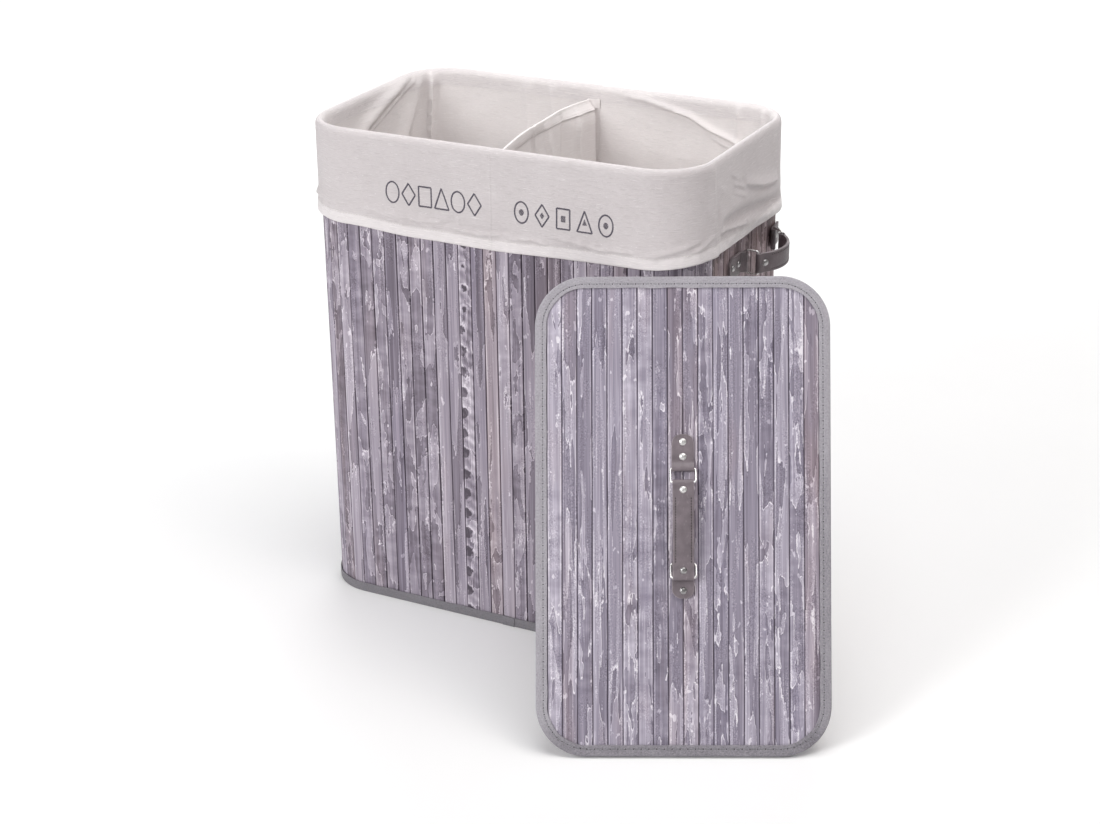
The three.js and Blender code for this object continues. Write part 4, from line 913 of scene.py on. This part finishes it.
def divider_sway(run, height):
    """How far the divider's cloth hangs to one side, with its hem leaning over near the back."""
    near, far = run / DIVIDER_PEAK, (1 - run) / (1 - DIVIDER_PEAK)
    front = np.sin(np.minimum(1, near) * math.pi / 2) ** 1.2
    back = np.sin(np.minimum(1, far) * math.pi / 2) ** 0.8
    rise = (height - DIVIDER_LOW) / (DIVIDER_TOP - DIVIDER_LOW)
    lean = smooth((run - 0.55) / 0.35) * (1 - smooth((run - 0.984) / 0.014))
    lean = lean * smooth((height - DIVIDER_TOP + 14) / 13)
    return -DIVIDER_BULGE * np.minimum(front, back) * rise - DIVIDER_LEAN * lean


def divider_folds(y, height):
    run, free = y + DIVIDER_START, np.clip((DIVIDER_HALF - abs(y)) / 20, 0, 1)
    total = unevenness(run, height, 31, 90, 200, DIVIDER_LOOP) * 1.4 * free
    total = total + folds(run, height, DIVIDER_CREASES, DIVIDER_LOOP)
    return total * np.clip((DIVIDER_TOP + 30 - height) / 60, 0.45, 1)


def divider_sheet(name, profile, trim, material):
    """A sheet from the front wall to the back one, with a closed cross section."""
    run = np.concatenate([np.linspace(0, 0.96, 120), np.linspace(0.96, 1, 18)[1:]])[:, None]
    y = (run * 2 - 1) * (DIVIDER_HALF - trim)
    offset, height = profile.T
    x = divider_sway(run, height) + offset + divider_folds(y, height)
    made = solid(name, triple(x, y, height), False, sharp=60, weave=triple(y, height, np.zeros(x.shape)))
    return piece(made, "liner", "linen", material, f"liner_{name}")


def build_divider():
    heights = np.linspace(0, 1, 60) * (DIVIDER_TOP - DIVIDER_LOW) + DIVIDER_LOW
    profile = np.stack([np.repeat((CLOTH_HALF, -CLOTH_HALF), 60), mirrored(heights)], -1)
    low, top, roof = DIVIDER_TOP - 10.5, DIVIDER_TOP + 0.25, DIVIDER_TOP + 1.1
    hem = rounded([
        (1.6, low), (1.65, roof - 4), (1.5, roof), (-1.5, roof), (-1.65, roof - 4), (-1.6, low),
        (-0.75, low), (-0.75, top), (0.75, top), (0.75, low),
    ], 0.6, 2)
    sheet = divider_sheet("divider", profile, 0.0, bag_linen_painted_light)
    divider_sheet("divider_hem", hem, 0.8, bag_linen_painted_light)
    return sheet


divider = build_divider()


# ---------------------------------------------------------------- lid

def lid_end(across, inset):
    """How far the lid's slats reach at a place across it, inside an inset of its outline."""
    half_x, half_y, radius = LID_HALF_WIDTH - inset, LID_HALF_LENGTH - inset, LID_CORNER - inset
    past = np.clip(abs(across) - (half_x - radius), 0, radius * 0.9999)
    return half_y - radius + np.sqrt(radius ** 2 - past ** 2)


def build_lid():
    reach = LID_HALF_WIDTH - LID_INSET
    edges = [LID_SHIFT + k * LID_PITCH for k in range(-12, 13)]
    edges = [-reach] + [e for e in edges if abs(e) < reach - 2] + [reach]
    heap, rng = Heap(), np.random.default_rng(77)
    for left, right in zip(edges[:-1], edges[1:]):
        def ends(across, middle=(left + right) / 2):
            end = lid_end(across + middle, LID_INSET)
            return -end, end

        corners = (left, 0), (right, 0), (0, 1)
        slat(
            heap, corners, ends, rng, LID_SLAT_THICK, LID_SLAT_ROWS,
            spread=0.6, groove=0.5, lift=0.02,
        )
    turn = Matrix(((1, 0, 0, 0), (0, 0, 1, 0), (0, 1, 0, LID_FACE), (0, 0, 0, 1)))
    piece(heap.build("lid_wash_slats", lid_matrix @ turn), "lid", "lid_slats", lid_wash, "lid_slats")
    run = lapped_runs(lid_loop, 3.4, LID_LAP)
    high, pressed, near, far = LID_THICK, 0.32, LID_SEWN - 1.3, LID_SEWN + 1.3
    profile = rounded([
        (LID_TAPE, 0), (far, 0), (LID_SEWN, pressed), (near, 0), (0, 0), (0, high / 2), (0, high),
        (near, high), (LID_SEWN, high - pressed), (far, high), (LID_TAPE, high),
        (LID_TAPE, high - 1), (1, high - 1), (1, 1), (LID_TAPE, 1),
    ], 1.9, 4)
    wave = unevenness(run[:, None], 0.0, 41, 60, 100, lid_loop.length)
    depth = profile[:, 0] + (profile[:, 0] > 10) * wave * 0.35
    height = profile[:, 1] + np.where(profile[:, 1] > 4, 1, -1) * (depth > 2) * (0.10 + 0.08 * wave)
    place, out = lid_loop.at(run)
    # The tape is made darker at the lid's foot and low on its right
    darkening = 0.23 * smooth((-out[:, 1] - 0.3) / 0.6)
    darkening = darkening + 0.13 * smooth((out[:, 0] - 0.3) / 0.6) * smooth((160 - place[:, 1]) / 240)
    made = band("lid_binding", lid_loop, run, depth, height, lid_matrix, darkening[:, None])
    piece(made, "lid", "lid_tape", lid_weave, "lid_tape")
    for node in ("lid_board", "lid_wire", "base_wire", "rim_wire"):
        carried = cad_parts[node].data
        carried.materials.clear()
        carried.materials.append(lid_core if node == "lid_board" else steel)
    return plate(
        "lid_back_cloth", 4.7, 1.35, 2.25, "lid", "linen", linen, ["lid_lining"],
        lid_loop, lid_matrix, 0.35)


lid_lining = build_lid()


# ---------------------------------------------------------------- threads

def circle(a, b, count):
    """Directions evenly round a circle, from a by way of b."""
    angle = np.arange(count)[:, None] * 2 * math.pi / count
    return np.cos(angle) * a + np.sin(angle) * b


def thread(heap, start, end, up, radius, lift, steps=5, sides=6):
    """One stitch: it comes out of the cloth, lies on it, and goes back in."""
    size, along = np.linalg.norm(end - start), unit(end - start)
    side = unit(np.cross(along, up))
    up = np.cross(side, along)
    t = np.linspace(0, 1, steps)[:, None]
    arch = np.minimum(1, np.sin(math.pi * t) * 2.2)
    width = radius * (0.45 + 0.55 * arch)
    middle = start + along * (t * size) + up * (arch * lift - radius * 0.5)
    heap.add(middle[:, None] + circle(side, up, sides) * width[:, None], False)


def hole(heap, centre, up, radius):
    """A needle hole, as a shallow disc sunk in the tape and coloured dark as painted shade inside the hole.
    """
    side = unit(np.cross(up, (0.3, 0.5, 0.8)))
    ring = circle(side, np.cross(up, side), 8)
    low, high = centre - up * 0.25 + ring * radius, centre + up * 0.10 + ring * radius * 0.8
    heap.add(np.stack([low, high]), False)


def lid_stitches():
    """Stitches round the lid's binding with needle holes between them, on both faces."""
    heap, holes = Heap(), Heap()
    count = round(lid_loop.length / LID_STITCH)
    pitch = lid_loop.length / count
    for i in range(count):
        runs = i * pitch + np.array([LID_STITCH_END, pitch - LID_STITCH_END, pitch])
        for face, height in ((1, LID_THICK - 0.22), (-1, 0.22)):
            up = np.array([0, 0, face])
            start, end, spot = lid_loop.ring(runs, LID_SEWN, height)[:, 0]
            thread(heap, start, end, up, 0.34, 0.2)
            hole(holes, spot + up * 0.12, up, 0.8)
    piece(heap.build("lid_stitches", lid_matrix), "lid", "lid_tape", tape_thread)
    piece(holes.build("lid_needle_holes", lid_matrix), "lid", "lid_tape", hole_shade)


lid_stitches()


# ---------------------------------------------------------------- handles

TAB_RIVETS = (TAB_LENGTH - RIVET_FROM_END - RIVET_SPACING, TAB_LENGTH - RIVET_FROM_END)


class LidGround:
    """The lid's face: the run goes up the lid."""
    body, matrix, leather = "lid", lid_matrix, leather

    def place(self, run, across, out):
        return triple(across, run, LID_FACE + out)

    def frame(self, run):
        """Directions along the run, across it and out of the face."""
        return np.eye(3)[[1, 0, 2]]


class EndGround:
    """An end wall and the corners beside it: the run goes backwards from the end's middle."""
    # The end handles' leather is the darker copy with painted shade
    body, matrix, leather = "hamper", None, shaded_end_leather

    def __init__(self, side):
        self.side = side

    def turn(self, run):
        chord = 2 * CORNER * math.sin(math.pi / 4 / CORNER_SLATS)
        past = np.maximum(0, abs(run) - body_loop.reach[1])
        return np.sign(run) * past / chord * math.pi / 2 / CORNER_SLATS

    def place(self, run, across, out):
        angle, (half_x, half_y) = self.turn(run), body_loop.reach
        x = half_x + (CORNER + out) * np.cos(angle)
        y = np.clip(run, -half_y, half_y) + (CORNER + out) * np.sin(angle)
        return triple(self.side * x, y, SIDE_HEIGHT + across)

    def frame(self, run):
        x, y = self.side * math.cos(self.turn(run)), math.sin(self.turn(run))
        return np.array([(-self.side * y, self.side * x, 0), (0, 0, 1), (x, y, 0)])


def leather_strip(name, ground, path, halves, across, thick, closed, relief, from_edge):
    """A strip swept along a path whose points come with their outward directions. relief raises its
    upper face, and from_edge tells how far each point is from the strip's cut edge."""
    points, outs = path
    soft, half, turn = 0.42, halves[:, None], np.radians([25, 50, 75, 90])
    top = np.array([-1, *np.linspace(-0.93, 0.93, 13), 1]) * (half - soft)
    corner, level = half - soft + soft * np.sin(turn), thick / 2 - soft + soft * np.cos(turn)
    side = np.concatenate([top, corner, corner[:, ::-1], top[:, ::-1], -corner, -corner[:, ::-1]], 1)
    under = np.concatenate([level, -level[::-1], np.full(top.shape[1], -thick / 2), -level, level[::-1]])
    under = np.broadcast_to(under, (len(half), len(under)))
    rise = np.concatenate([thick / 2 + relief(top, half), under], 1)
    made = points[:, None] + side[..., None] * across + rise[..., None] * outs[:, None]
    edge = triple(np.clip(1 - from_edge(side) / 3, 0, 1), 0.0, 0.0)
    return solid(name, made, closed, matrix=ground.matrix, sharp=50, edge=edge)


def path_outs(points, across, closed=False):
    """Directions out of a path's flat side."""
    ahead = np.roll(points, -1, 0) - np.roll(points, 1, 0) if closed else np.gradient(points, axis=0)
    outs = np.cross(ahead, across)
    return outs / np.linalg.norm(outs, axis=1)[:, None]


def dents(reach, across, rivets):
    """How far each place of a strip is pressed in round its rivets."""
    return DENT_DEPTH * sum(np.exp(-((reach[:, None] - r) ** 2 + across ** 2) / DENT_SIZE) for r in rivets)


def tab_base(out, reach):
    return TAB_FOOT + (out - LID_OUT) * (1 - smooth(reach / TAB_LIFT_RUN))


def build_tab(name, node, ground, tab):
    pivot, way, out = tab["pivot"], tab["way"], tab["out"]
    straight = TAB_LENGTH - TAB_ROUND
    round_end = straight + TAB_ROUND * np.sin(np.linspace(0, 1, 13) * math.pi / 2)
    reach = np.concatenate([np.linspace(0, straight, 19)[:-1], round_end])
    base = tab_base(out, reach)
    wedge = (out + TAB_BEND - tab_base(out, 0) - 2.1) * (1 - smooth(reach / TAB_WEDGE))
    upper = ground.place(pivot + way * reach, 0, base + TAB_OVER + wedge)
    lower = ground.place(pivot + way * reach, 0, base + TAB_UNDER)
    angle = np.linspace(0, math.pi, 13)[1:-1]
    bend = ground.place(pivot - way * TAB_BEND * np.sin(angle), 0, out + TAB_BEND * np.cos(angle))
    points = np.concatenate([upper[::-1], bend, lower])
    reaches = np.concatenate([reach[::-1], -TAB_BEND * np.sin(angle), reach])
    past, on_top = np.maximum(0, reaches - straight)[:, None], np.arange(len(reaches)) < len(reach)
    _, across, _ = ground.frame(pivot)
    outs = path_outs(points, across)
    outs = outs * np.sign(np.dot(outs[5], points[5] - ground.place(pivot + way * 10, 0, base[10])))
    halves = TAB_HALF - TAB_ROUND + np.sqrt(np.maximum(0.02, TAB_ROUND ** 2 - past[:, 0] ** 2))

    def relief(top, half):
        return (0.10 * (1 - (top / half) ** 2) - dents(reaches, top, TAB_RIVETS)) * on_top[:, None]

    def from_edge(side):
        at_round = TAB_ROUND - np.hypot(past, np.maximum(0, abs(side) - TAB_HALF + TAB_ROUND))
        return np.where(past > 0, at_round, TAB_HALF - abs(side))

    made = leather_strip(name, ground, (points, outs), halves, across, TAB_LAYER, False, relief, from_edge)
    piece(made, ground.body, "leather", ground.leather, node)


def ring_way(ground, tab):
    along, _, out = ground.frame(tab["pivot"])
    tilt = math.radians(tab["tilt"])
    return along * math.cos(tilt) + out * math.sin(tilt)


def build_ring(name, node, ground, tab):
    way, (_, across, _) = ring_way(ground, tab), ground.frame(tab["pivot"])
    loop = Loop(RING_REACH / 2, RING_HALF, RING_CORNER)
    sides = zip(loop.edges[:-1], loop.edges[1:], (10, 6) * 4)
    plane, out = loop.at(np.concatenate([np.linspace(low, high, count)[:-1] for low, high, count in sides]))
    angle = np.arange(14)[:, None] * math.pi / 7
    flat = plane[:, None] + out[:, None] * RING_WIRE * np.cos(angle)
    middle = ground.place(tab["pivot"], 0, tab["out"]) + way * RING_REACH / 2
    lift = RING_WIRE * np.sin(angle) * np.cross(way, across)
    points = middle + flat[..., :1] * way + flat[..., 1:] * across + lift
    piece(solid(name, points, matrix=ground.matrix), node, "nickel", nickel, node)


def build_rivet(name, node, body, seat, out, depth, matrix):
    """A domed rivet with a rolled rim and its shank."""
    turn, wide = np.linspace(0, math.pi / 2, 8)[1:-1], RIVET_RADIUS
    rim = (
        (RIVET_SHANK, -depth), (RIVET_SHANK, -0.25), (wide * 0.9, -0.25), (wide * 0.985, -0.1),
        (wide, 0.12), (wide * 0.975, 0.32), (wide * 0.9, RIVET_RIM),
    )
    dome = np.stack([wide * 0.88 * np.cos(turn), RIVET_RIM + (RIVET_HIGH - RIVET_RIM) * np.sin(turn)], -1)
    profile = np.concatenate([rim, dome, [(0.12, RIVET_HIGH)]])
    side = unit(np.cross(out, (0.31, 0.42, 0.85)))
    ring = circle(side, np.cross(out, side), 28)
    points = seat + ring[:, None] * profile[:, :1] + out * profile[:, 1:]
    # Rivets on the lid take the nickel with painted light; the others, and the lid strap's lower one, the
    # nickel with painted shade
    stud = stud_painted_light if matrix is not None and "lower" not in name else stud_painted_shade
    piece(solid(name, points, True, False, matrix, 40), body, "nickel", stud, node)


class StrapLine:
    """The strap's middle line, from one ring's outer bar to the other's, bowed outwards."""

    def __init__(self, ground, near, far, bow):
        start, end = (
            ground.place(tab["pivot"], 0, tab["out"]) + ring_way(ground, tab) * RING_REACH
            for tab in (near, far)
        )
        half_chord = np.linalg.norm(end - start) / 2
        self.along = unit(end - start)
        _, self.across, wall = ground.frame(near["pivot"])
        self.out = unit(wall - self.along * np.dot(wall, self.along))
        self.radius = (half_chord ** 2 + bow ** 2) / (2 * bow)
        self.half = math.asin(half_chord / self.radius)
        self.middle = (start + end) / 2 + self.out * (bow - self.radius)
        self.length = 2 * self.half * self.radius

    def at(self, travelled, lift=0.0):
        """Points at these lengths along it and lifts off it, and the directions out of it."""
        angle = np.asarray(travelled)[..., None] / self.radius - self.half
        up = np.cos(angle) * self.out + np.sin(angle) * self.along
        return self.middle + up * (self.radius + np.asarray(lift)[..., None]), up


def build_strap(name, ground, near, far, bow, far_eye):
    """A strap of two layers, which part round the ring's bar at each end."""
    node, line = f"{name}_strap", StrapLine(ground, near, far, bow)
    size, near_radius, far_radius = line.length, EYE + STRAP_OFF_EYE, far_eye + STRAP_OFF_EYE
    rivets = (STRAP_RIVET, size - STRAP_RIVET)
    steps = np.linspace(0, size, round(size / 1.7) + 1)
    lift = STRAP_APART + (near_radius - STRAP_APART) * (1 - smooth(steps / STRAP_PART))
    lift = lift + (far_radius - STRAP_APART) * (1 - smooth((size - steps) / STRAP_PART))
    turn = np.linspace(0, math.pi, 12)[1:-1, None]

    def end(travelled, radius, way):
        point, up = line.at(travelled)
        ahead = np.cross(line.across, up)
        ahead = ahead * np.sign(np.dot(ahead, line.along))
        return point + radius * (np.cos(turn) * up + way * np.sin(turn) * ahead)

    upper, lower = (line.at(steps, face * lift)[0] for face in (1, -1))
    points = np.concatenate([upper, end(size, far_radius, 1), lower[::-1], end(0, near_radius, -1)[::-1]])
    outs = path_outs(points, line.across, True)
    outs = outs * np.sign(np.dot(outs[len(steps) // 2], line.out))
    sewn = smooth((steps - 14) / 4) * smooth((size - 14 - steps) / 4)

    def relief(top, half):
        made, face = np.zeros(top.shape), top[:len(steps)]
        pressed = np.exp(-((STRAP_HALF - abs(face) - STRAP_SEWN) / 0.9) ** 2) * sewn[:, None]
        made[:len(steps)] = 0.30 * (1 - (face / STRAP_HALF) ** 2 - pressed) - dents(steps, face, rivets)
        return made

    halves = np.full(len(points), STRAP_HALF)
    made = leather_strip(
        f"{name}_band", ground, (points, outs), halves, line.across, STRAP_LAYER, True, relief,
        lambda side: STRAP_HALF - abs(side))
    piece(made, node, "leather", ground.leather, node)
    stitched = size - 2 * STRAP_STITCHED
    heap, count = Heap(), round(stitched / STRAP_STITCH)
    for i in range(count):
        ends = STRAP_STITCHED + stitched * np.array([i + 0.14, i + 0.86]) / count
        for side in (-1, 1):
            for face, sunk in ((1, 0.12), (-1, 0.0)):
                at, up = line.at(ends, face * (STRAP_APART + STRAP_LAYER / 2 - sunk))
                at = at + line.across * side * (STRAP_HALF - STRAP_SEWN)
                thread(heap, *at, up[0] * face, 0.48, 0.30)
    piece(heap.build(f"{name}_strap_stitches", ground.matrix), node, "leather", dark_thread)
    for place, tab in zip(rivets, (near, far)):
        at, up = line.at(place, STRAP_THICK / 2 + 0.14)
        names = f"{node}_stud_{tab['name']}", f"{name}_rivet_strap_{tab['name']}"
        build_rivet(*names, node, at, up, STRAP_THICK, ground.matrix)


def build_handle(name, ground, tabs, bow, far_eye, stack):
    """A handle on its two tabs. stack is how much its rivets go through under the tabs."""
    for tab in tabs:
        end = tab["name"]
        build_tab(f"{name}_leather_{end}", f"{name}_tab_{end}", ground, tab)
        build_ring(f"{name}_wire_{end}", f"{name}_ring_{end}", ground, tab)
        for kind, reach in zip(("inner", "outer"), TAB_RIVETS):
            run = tab["pivot"] + tab["way"] * reach
            names = f"{name}_stud_{end}_{kind}", f"{name}_rivet_{end}_{kind}"
            seat, out = ground.place(run, 0, TAB_THICK + RIVET_SEAT), ground.frame(run)[2]
            build_rivet(*names, ground.body, seat, out, TAB_THICK + stack, ground.matrix)
    build_strap(name, ground, *tabs, bow, far_eye)


def build_handles():
    side_tabs = (
        {"name": "front", "pivot": SIDE_NEAR, "way": -1, "out": SIDE_OUT, "tilt": 90},
        {"name": "back", "pivot": SIDE_FAR, "way": 1, "out": SIDE_OUT, "tilt": 122},
    )
    lid_tabs = (
        {"name": "upper", "pivot": LID_PIVOT, "way": 1, "out": LID_OUT, "tilt": 155},
        {"name": "lower", "pivot": -LID_PIVOT, "way": -1, "out": LID_OUT, "tilt": 155},
    )
    build_handle("right_handle", EndGround(1), side_tabs, SIDE_BOW, OPEN_EYE, 3.0)
    build_handle("left_handle", EndGround(-1), side_tabs, SIDE_BOW, OPEN_EYE, 3.0)
    build_handle("lid_handle", LidGround(), lid_tabs, LID_BOW, EYE, 2.0)


build_handles()


# ---------------------------------------------------------------- embroidery

def cuff_front(x, height):
    """Points on the cuff's outer face in front, and the directions out of the cloth."""
    left, right, foot, top = -150, 175, 500, 560
    (depth, level), _ = cuff_surfaces(FRONT_MIDDLE + np.arange(left, right + 1))
    rows = zip(level[:, :CUFF_OUTSIDE - 1:-1], depth[:, :CUFF_OUTSIDE - 1:-1])
    table = np.array([np.interp(np.arange(foot, top + 1), *row) for row in rows])

    def sample(px, pz):
        u, v = np.clip(px - left, 0, right - left - 0.001), np.clip(pz - foot, 0, top - foot - 0.001)
        i, j = u.astype(int), v.astype(int)
        a, b = u - i, v - j
        near = table[i, j] * (1 - b) + table[i, j + 1] * b
        return near * (1 - a) + (table[i + 1, j] * (1 - b) + table[i + 1, j + 1] * b) * a

    depths = sample(x, height)
    normal = triple(sample(x + 1, height) - depths, -1.0, sample(x, height + 1) - depths)
    return triple(x, depths - HALF_DEPTH, height), normal / np.linalg.norm(normal, axis=-1)[:, None]


# Plain closed shapes about 26 mm high, as points anticlockwise from the top
ROUND = np.linspace(0, 2 * math.pi, 61)[:-1] + math.pi / 2
SHAPES = {
    "round": np.stack([8.6 * np.cos(ROUND), 12.2 * np.sin(ROUND)], -1),
    "diamond": np.array([(0, 13.0), (-8.6, 0), (0, -13.0), (8.6, 0)]),
    "square": np.array([(-8.0, 11.6), (-8.0, -11.6), (8.0, -11.6), (8.0, 11.6)]),
    "triangle": np.array([(0, 12.8), (-9.2, -11.6), (9.2, -11.6)]),
}
ROW = ("round", "diamond", "square", "triangle", "round", "diamond")


def along_outline(corners, pitch):
    """Evenly spaced points round a shape with the directions out of it."""
    steps = np.roll(corners, -1, 0) - corners
    sizes = np.linalg.norm(steps, axis=1)
    starts = np.concatenate([[0], np.cumsum(sizes)])
    count = round(starts[-1] / pitch)
    where = np.arange(count) * starts[-1] / count
    part = np.clip(np.searchsorted(starts, where, side="right") - 1, 0, len(corners) - 1)
    ahead = steps[part] / sizes[part][:, None]
    points = corners[part] + ahead * (where - starts[part])[:, None]
    return points, np.stack([ahead[:, 1], -ahead[:, 0]], -1)


def fill_rows(corners, pitch, reach):
    """Short upright stitches that fill a shape, each as its lower and upper end."""
    made = []
    for k, x in enumerate(np.arange(corners[:, 0].min() + pitch / 2, corners[:, 0].max(), pitch)):
        cuts = [
            ay + (by - ay) * (x - ax) / (bx - ax)
            for (ax, ay), (bx, by) in zip(corners, np.roll(corners, -1, 0)) if (ax - x) * (bx - x) < 0
        ]
        if len(cuts) < 2:
            continue
        bottom, top = min(cuts) + 0.4, max(cuts) - 0.4
        marks = [m for m in np.arange(-30 + (k % 3) * reach / 3, 30, reach) if bottom + 0.8 < m < top - 0.8]
        marks = [bottom, *marks, top]
        made += [((x, a), (x, b)) for a, b in zip(marks[:-1], marks[1:]) if b - a > 0.5]
    return np.array(made)


def build_embroidery():
    """A row of shapes for each bin, outlined, and on the right with a small filled centre."""
    rng = np.random.default_rng(90)
    for name, first, spacing, count, filled in (
        ("plain_shapes", -121.5, 21.2, 6, False), ("centred_shapes", 44.0, 26.0, 5, True),
    ):
        heap, starts, ends = Heap(), [], []
        for i, kind in enumerate(ROW[:count]):
            centre, corners = first + spacing * i, SHAPES[kind]
            middle = np.array([centre, 528.0 - 0.010 * centre])
            points, out = along_outline(corners, 0.5)
            wide = 1.15 + rng.uniform(-0.16, 0.16, (len(points), 2))
            starts.append(points - out * wide[:, :1] + middle)
            ends.append(points + out * wide[:, 1:] + middle)
            if filled:
                rows = fill_rows(corners * 0.36, 0.62, 3.6) + middle
                starts.append(rows[:, 0])
                ends.append(rows[:, 1])
        (a, up), (b, _) = (cuff_front(*np.concatenate(spots).T) for spots in (starts, ends))
        for start, end, way in zip(a, b, up):
            thread(heap, start, end, way, 0.27, 0.30 + 0.10 * rng.uniform(), 4, 5)
        piece(heap.build(name), "liner", "linen", grey_thread)


build_embroidery()


# ---------------------------------------------------------------- seams

def hem_points(run):
    """Points on the outside of the cuff's turned hem."""
    (depth, height), _ = cuff_surfaces(run)
    return body_loop.ring(run, depth[:, -8:-7], height[:, -8:-7])[:, 0]


def build_seams():
    """The rows of stitches along the hems of the cuff and the divider."""
    heap, count = Heap(), round(body_loop.length / HEM_STITCH)
    pitch = body_loop.length / count
    starts = np.arange(count) * pitch
    _, outs = body_loop.at(starts)
    for start, end, out in zip(hem_points(starts + 0.5), hem_points(starts + pitch - 0.5), outs):
        thread(heap, start, end, (*out, 0), 0.2, 0.12, 4, 5)
    level = DIVIDER_TOP - HEM_SEWN
    for start in np.arange(-DIVIDER_HALF + 3, DIVIDER_HALF - 7, DIVIDER_STITCH):
        y = np.array([start, start + 2.4])
        x = divider_sway((y / (DIVIDER_HALF - 0.8) + 1) / 2, level) + divider_folds(y, level)
        for face in (-1, 1):
            thread(heap, *triple(x + face * 1.62, y, level), (face, 0, 0), 0.22, 0.14, 4, 5)
    piece(heap.build("hem_stitches"), "liner", "linen", pale_thread)


build_seams()


# ---------------------------------------------------------------- camera, light, floor

# The camera's place in metres, its turn, its tilt and its roll in degrees, its film's width in
# millimetres, and its focal length as a share of that width
CAMERA_PLACE, CAMERA_ANGLES = (1.1398, -2.2041, 1.2877), (27.38, 23.28, -0.72)
FILM, FOCAL = 36.0, 2201.5 / 1100
FLOOR_HALF = 12.0


def build_camera():
    yaw, pitch, roll = map(math.radians, CAMERA_ANGLES)
    forward = Vector((-math.sin(yaw) * math.cos(pitch), math.cos(yaw) * math.cos(pitch), -math.sin(pitch)))
    right = forward.cross(Vector((0, 0, 1))).normalized()
    up = right.cross(forward)
    right, up = math.cos(roll) * right + math.sin(roll) * up, math.cos(roll) * up - math.sin(roll) * right
    camera = link(bpy.data.objects.new("camera", bpy.data.cameras.new("camera")))
    turned = Matrix((right, up, -forward)).transposed().to_4x4()
    camera.matrix_world = Matrix.Translation(Vector(CAMERA_PLACE)) @ turned
    camera.data.sensor_width, camera.data.lens, camera.data.clip_end = FILM, FILM * FOCAL, 60.0
    bpy.context.scene.camera = camera


def area_light(name, place, target, size, power, colour=(1, 1, 1)):
    light = bpy.data.lights.new(name, "AREA")
    light.shape, light.size, light.energy, light.color = "DISK", size, power, colour
    obj = link(bpy.data.objects.new(name, light))
    obj.location = place
    obj.rotation_euler = (Vector(target) - Vector(place)).to_track_quat("-Z", "Y").to_euler()


def build_studio():
    world = bpy.data.worlds.new("studio")
    bpy.context.scene.world = world
    world.use_nodes = True
    world.node_tree.nodes["Background"].inputs[0].default_value = (1.0, 1.0, 1.0, 1.0)
    world.node_tree.nodes["Background"].inputs[1].default_value = 0.30
    area_light("key", (-1.2, -3.7, 2.1), (0.05, -0.1, 0.35), 1.6, 82)
    area_light("side", (1.9, -0.2, 3.0), (0.1, 0, 0.4), 1.2, 10, (1.0, 0.88, 0.82))
    area_light("top", (0.5, -0.1, 3.0), (0, 0, 0.3), 2.6, 50)
    area_light("backdrop", (-1.4, 3.4, 2.4), (-1.4, 3.4, 0), 3.2, 100)
    mesh = bpy.data.meshes.new("floor")
    corners = [(x * FLOOR_HALF, y * FLOOR_HALF, 0) for x, y in ((-1, -1), (1, -1), (1, 1), (-1, 1))]
    mesh.from_pydata(corners, [], [(0, 1, 2, 3)])
    floor = link(bpy.data.objects.new("floor", mesh))
    g = Graph("floor_paper", Roughness=0.9, Specular_IOR_Level=0.1)
    cloud = g.noise(g.place(), (3, 3, 3), 3.0)
    mesh.materials.append(g.done(g.ramp(cloud, (0.2, (0.93, 0.93, 0.93, 1)), (0.8, (0.95, 0.95, 0.95, 1)))))


build_camera()
build_studio()
bpy.context.scene.view_settings.view_transform = "Standard"
bpy.context.scene.view_settings.look = "None"
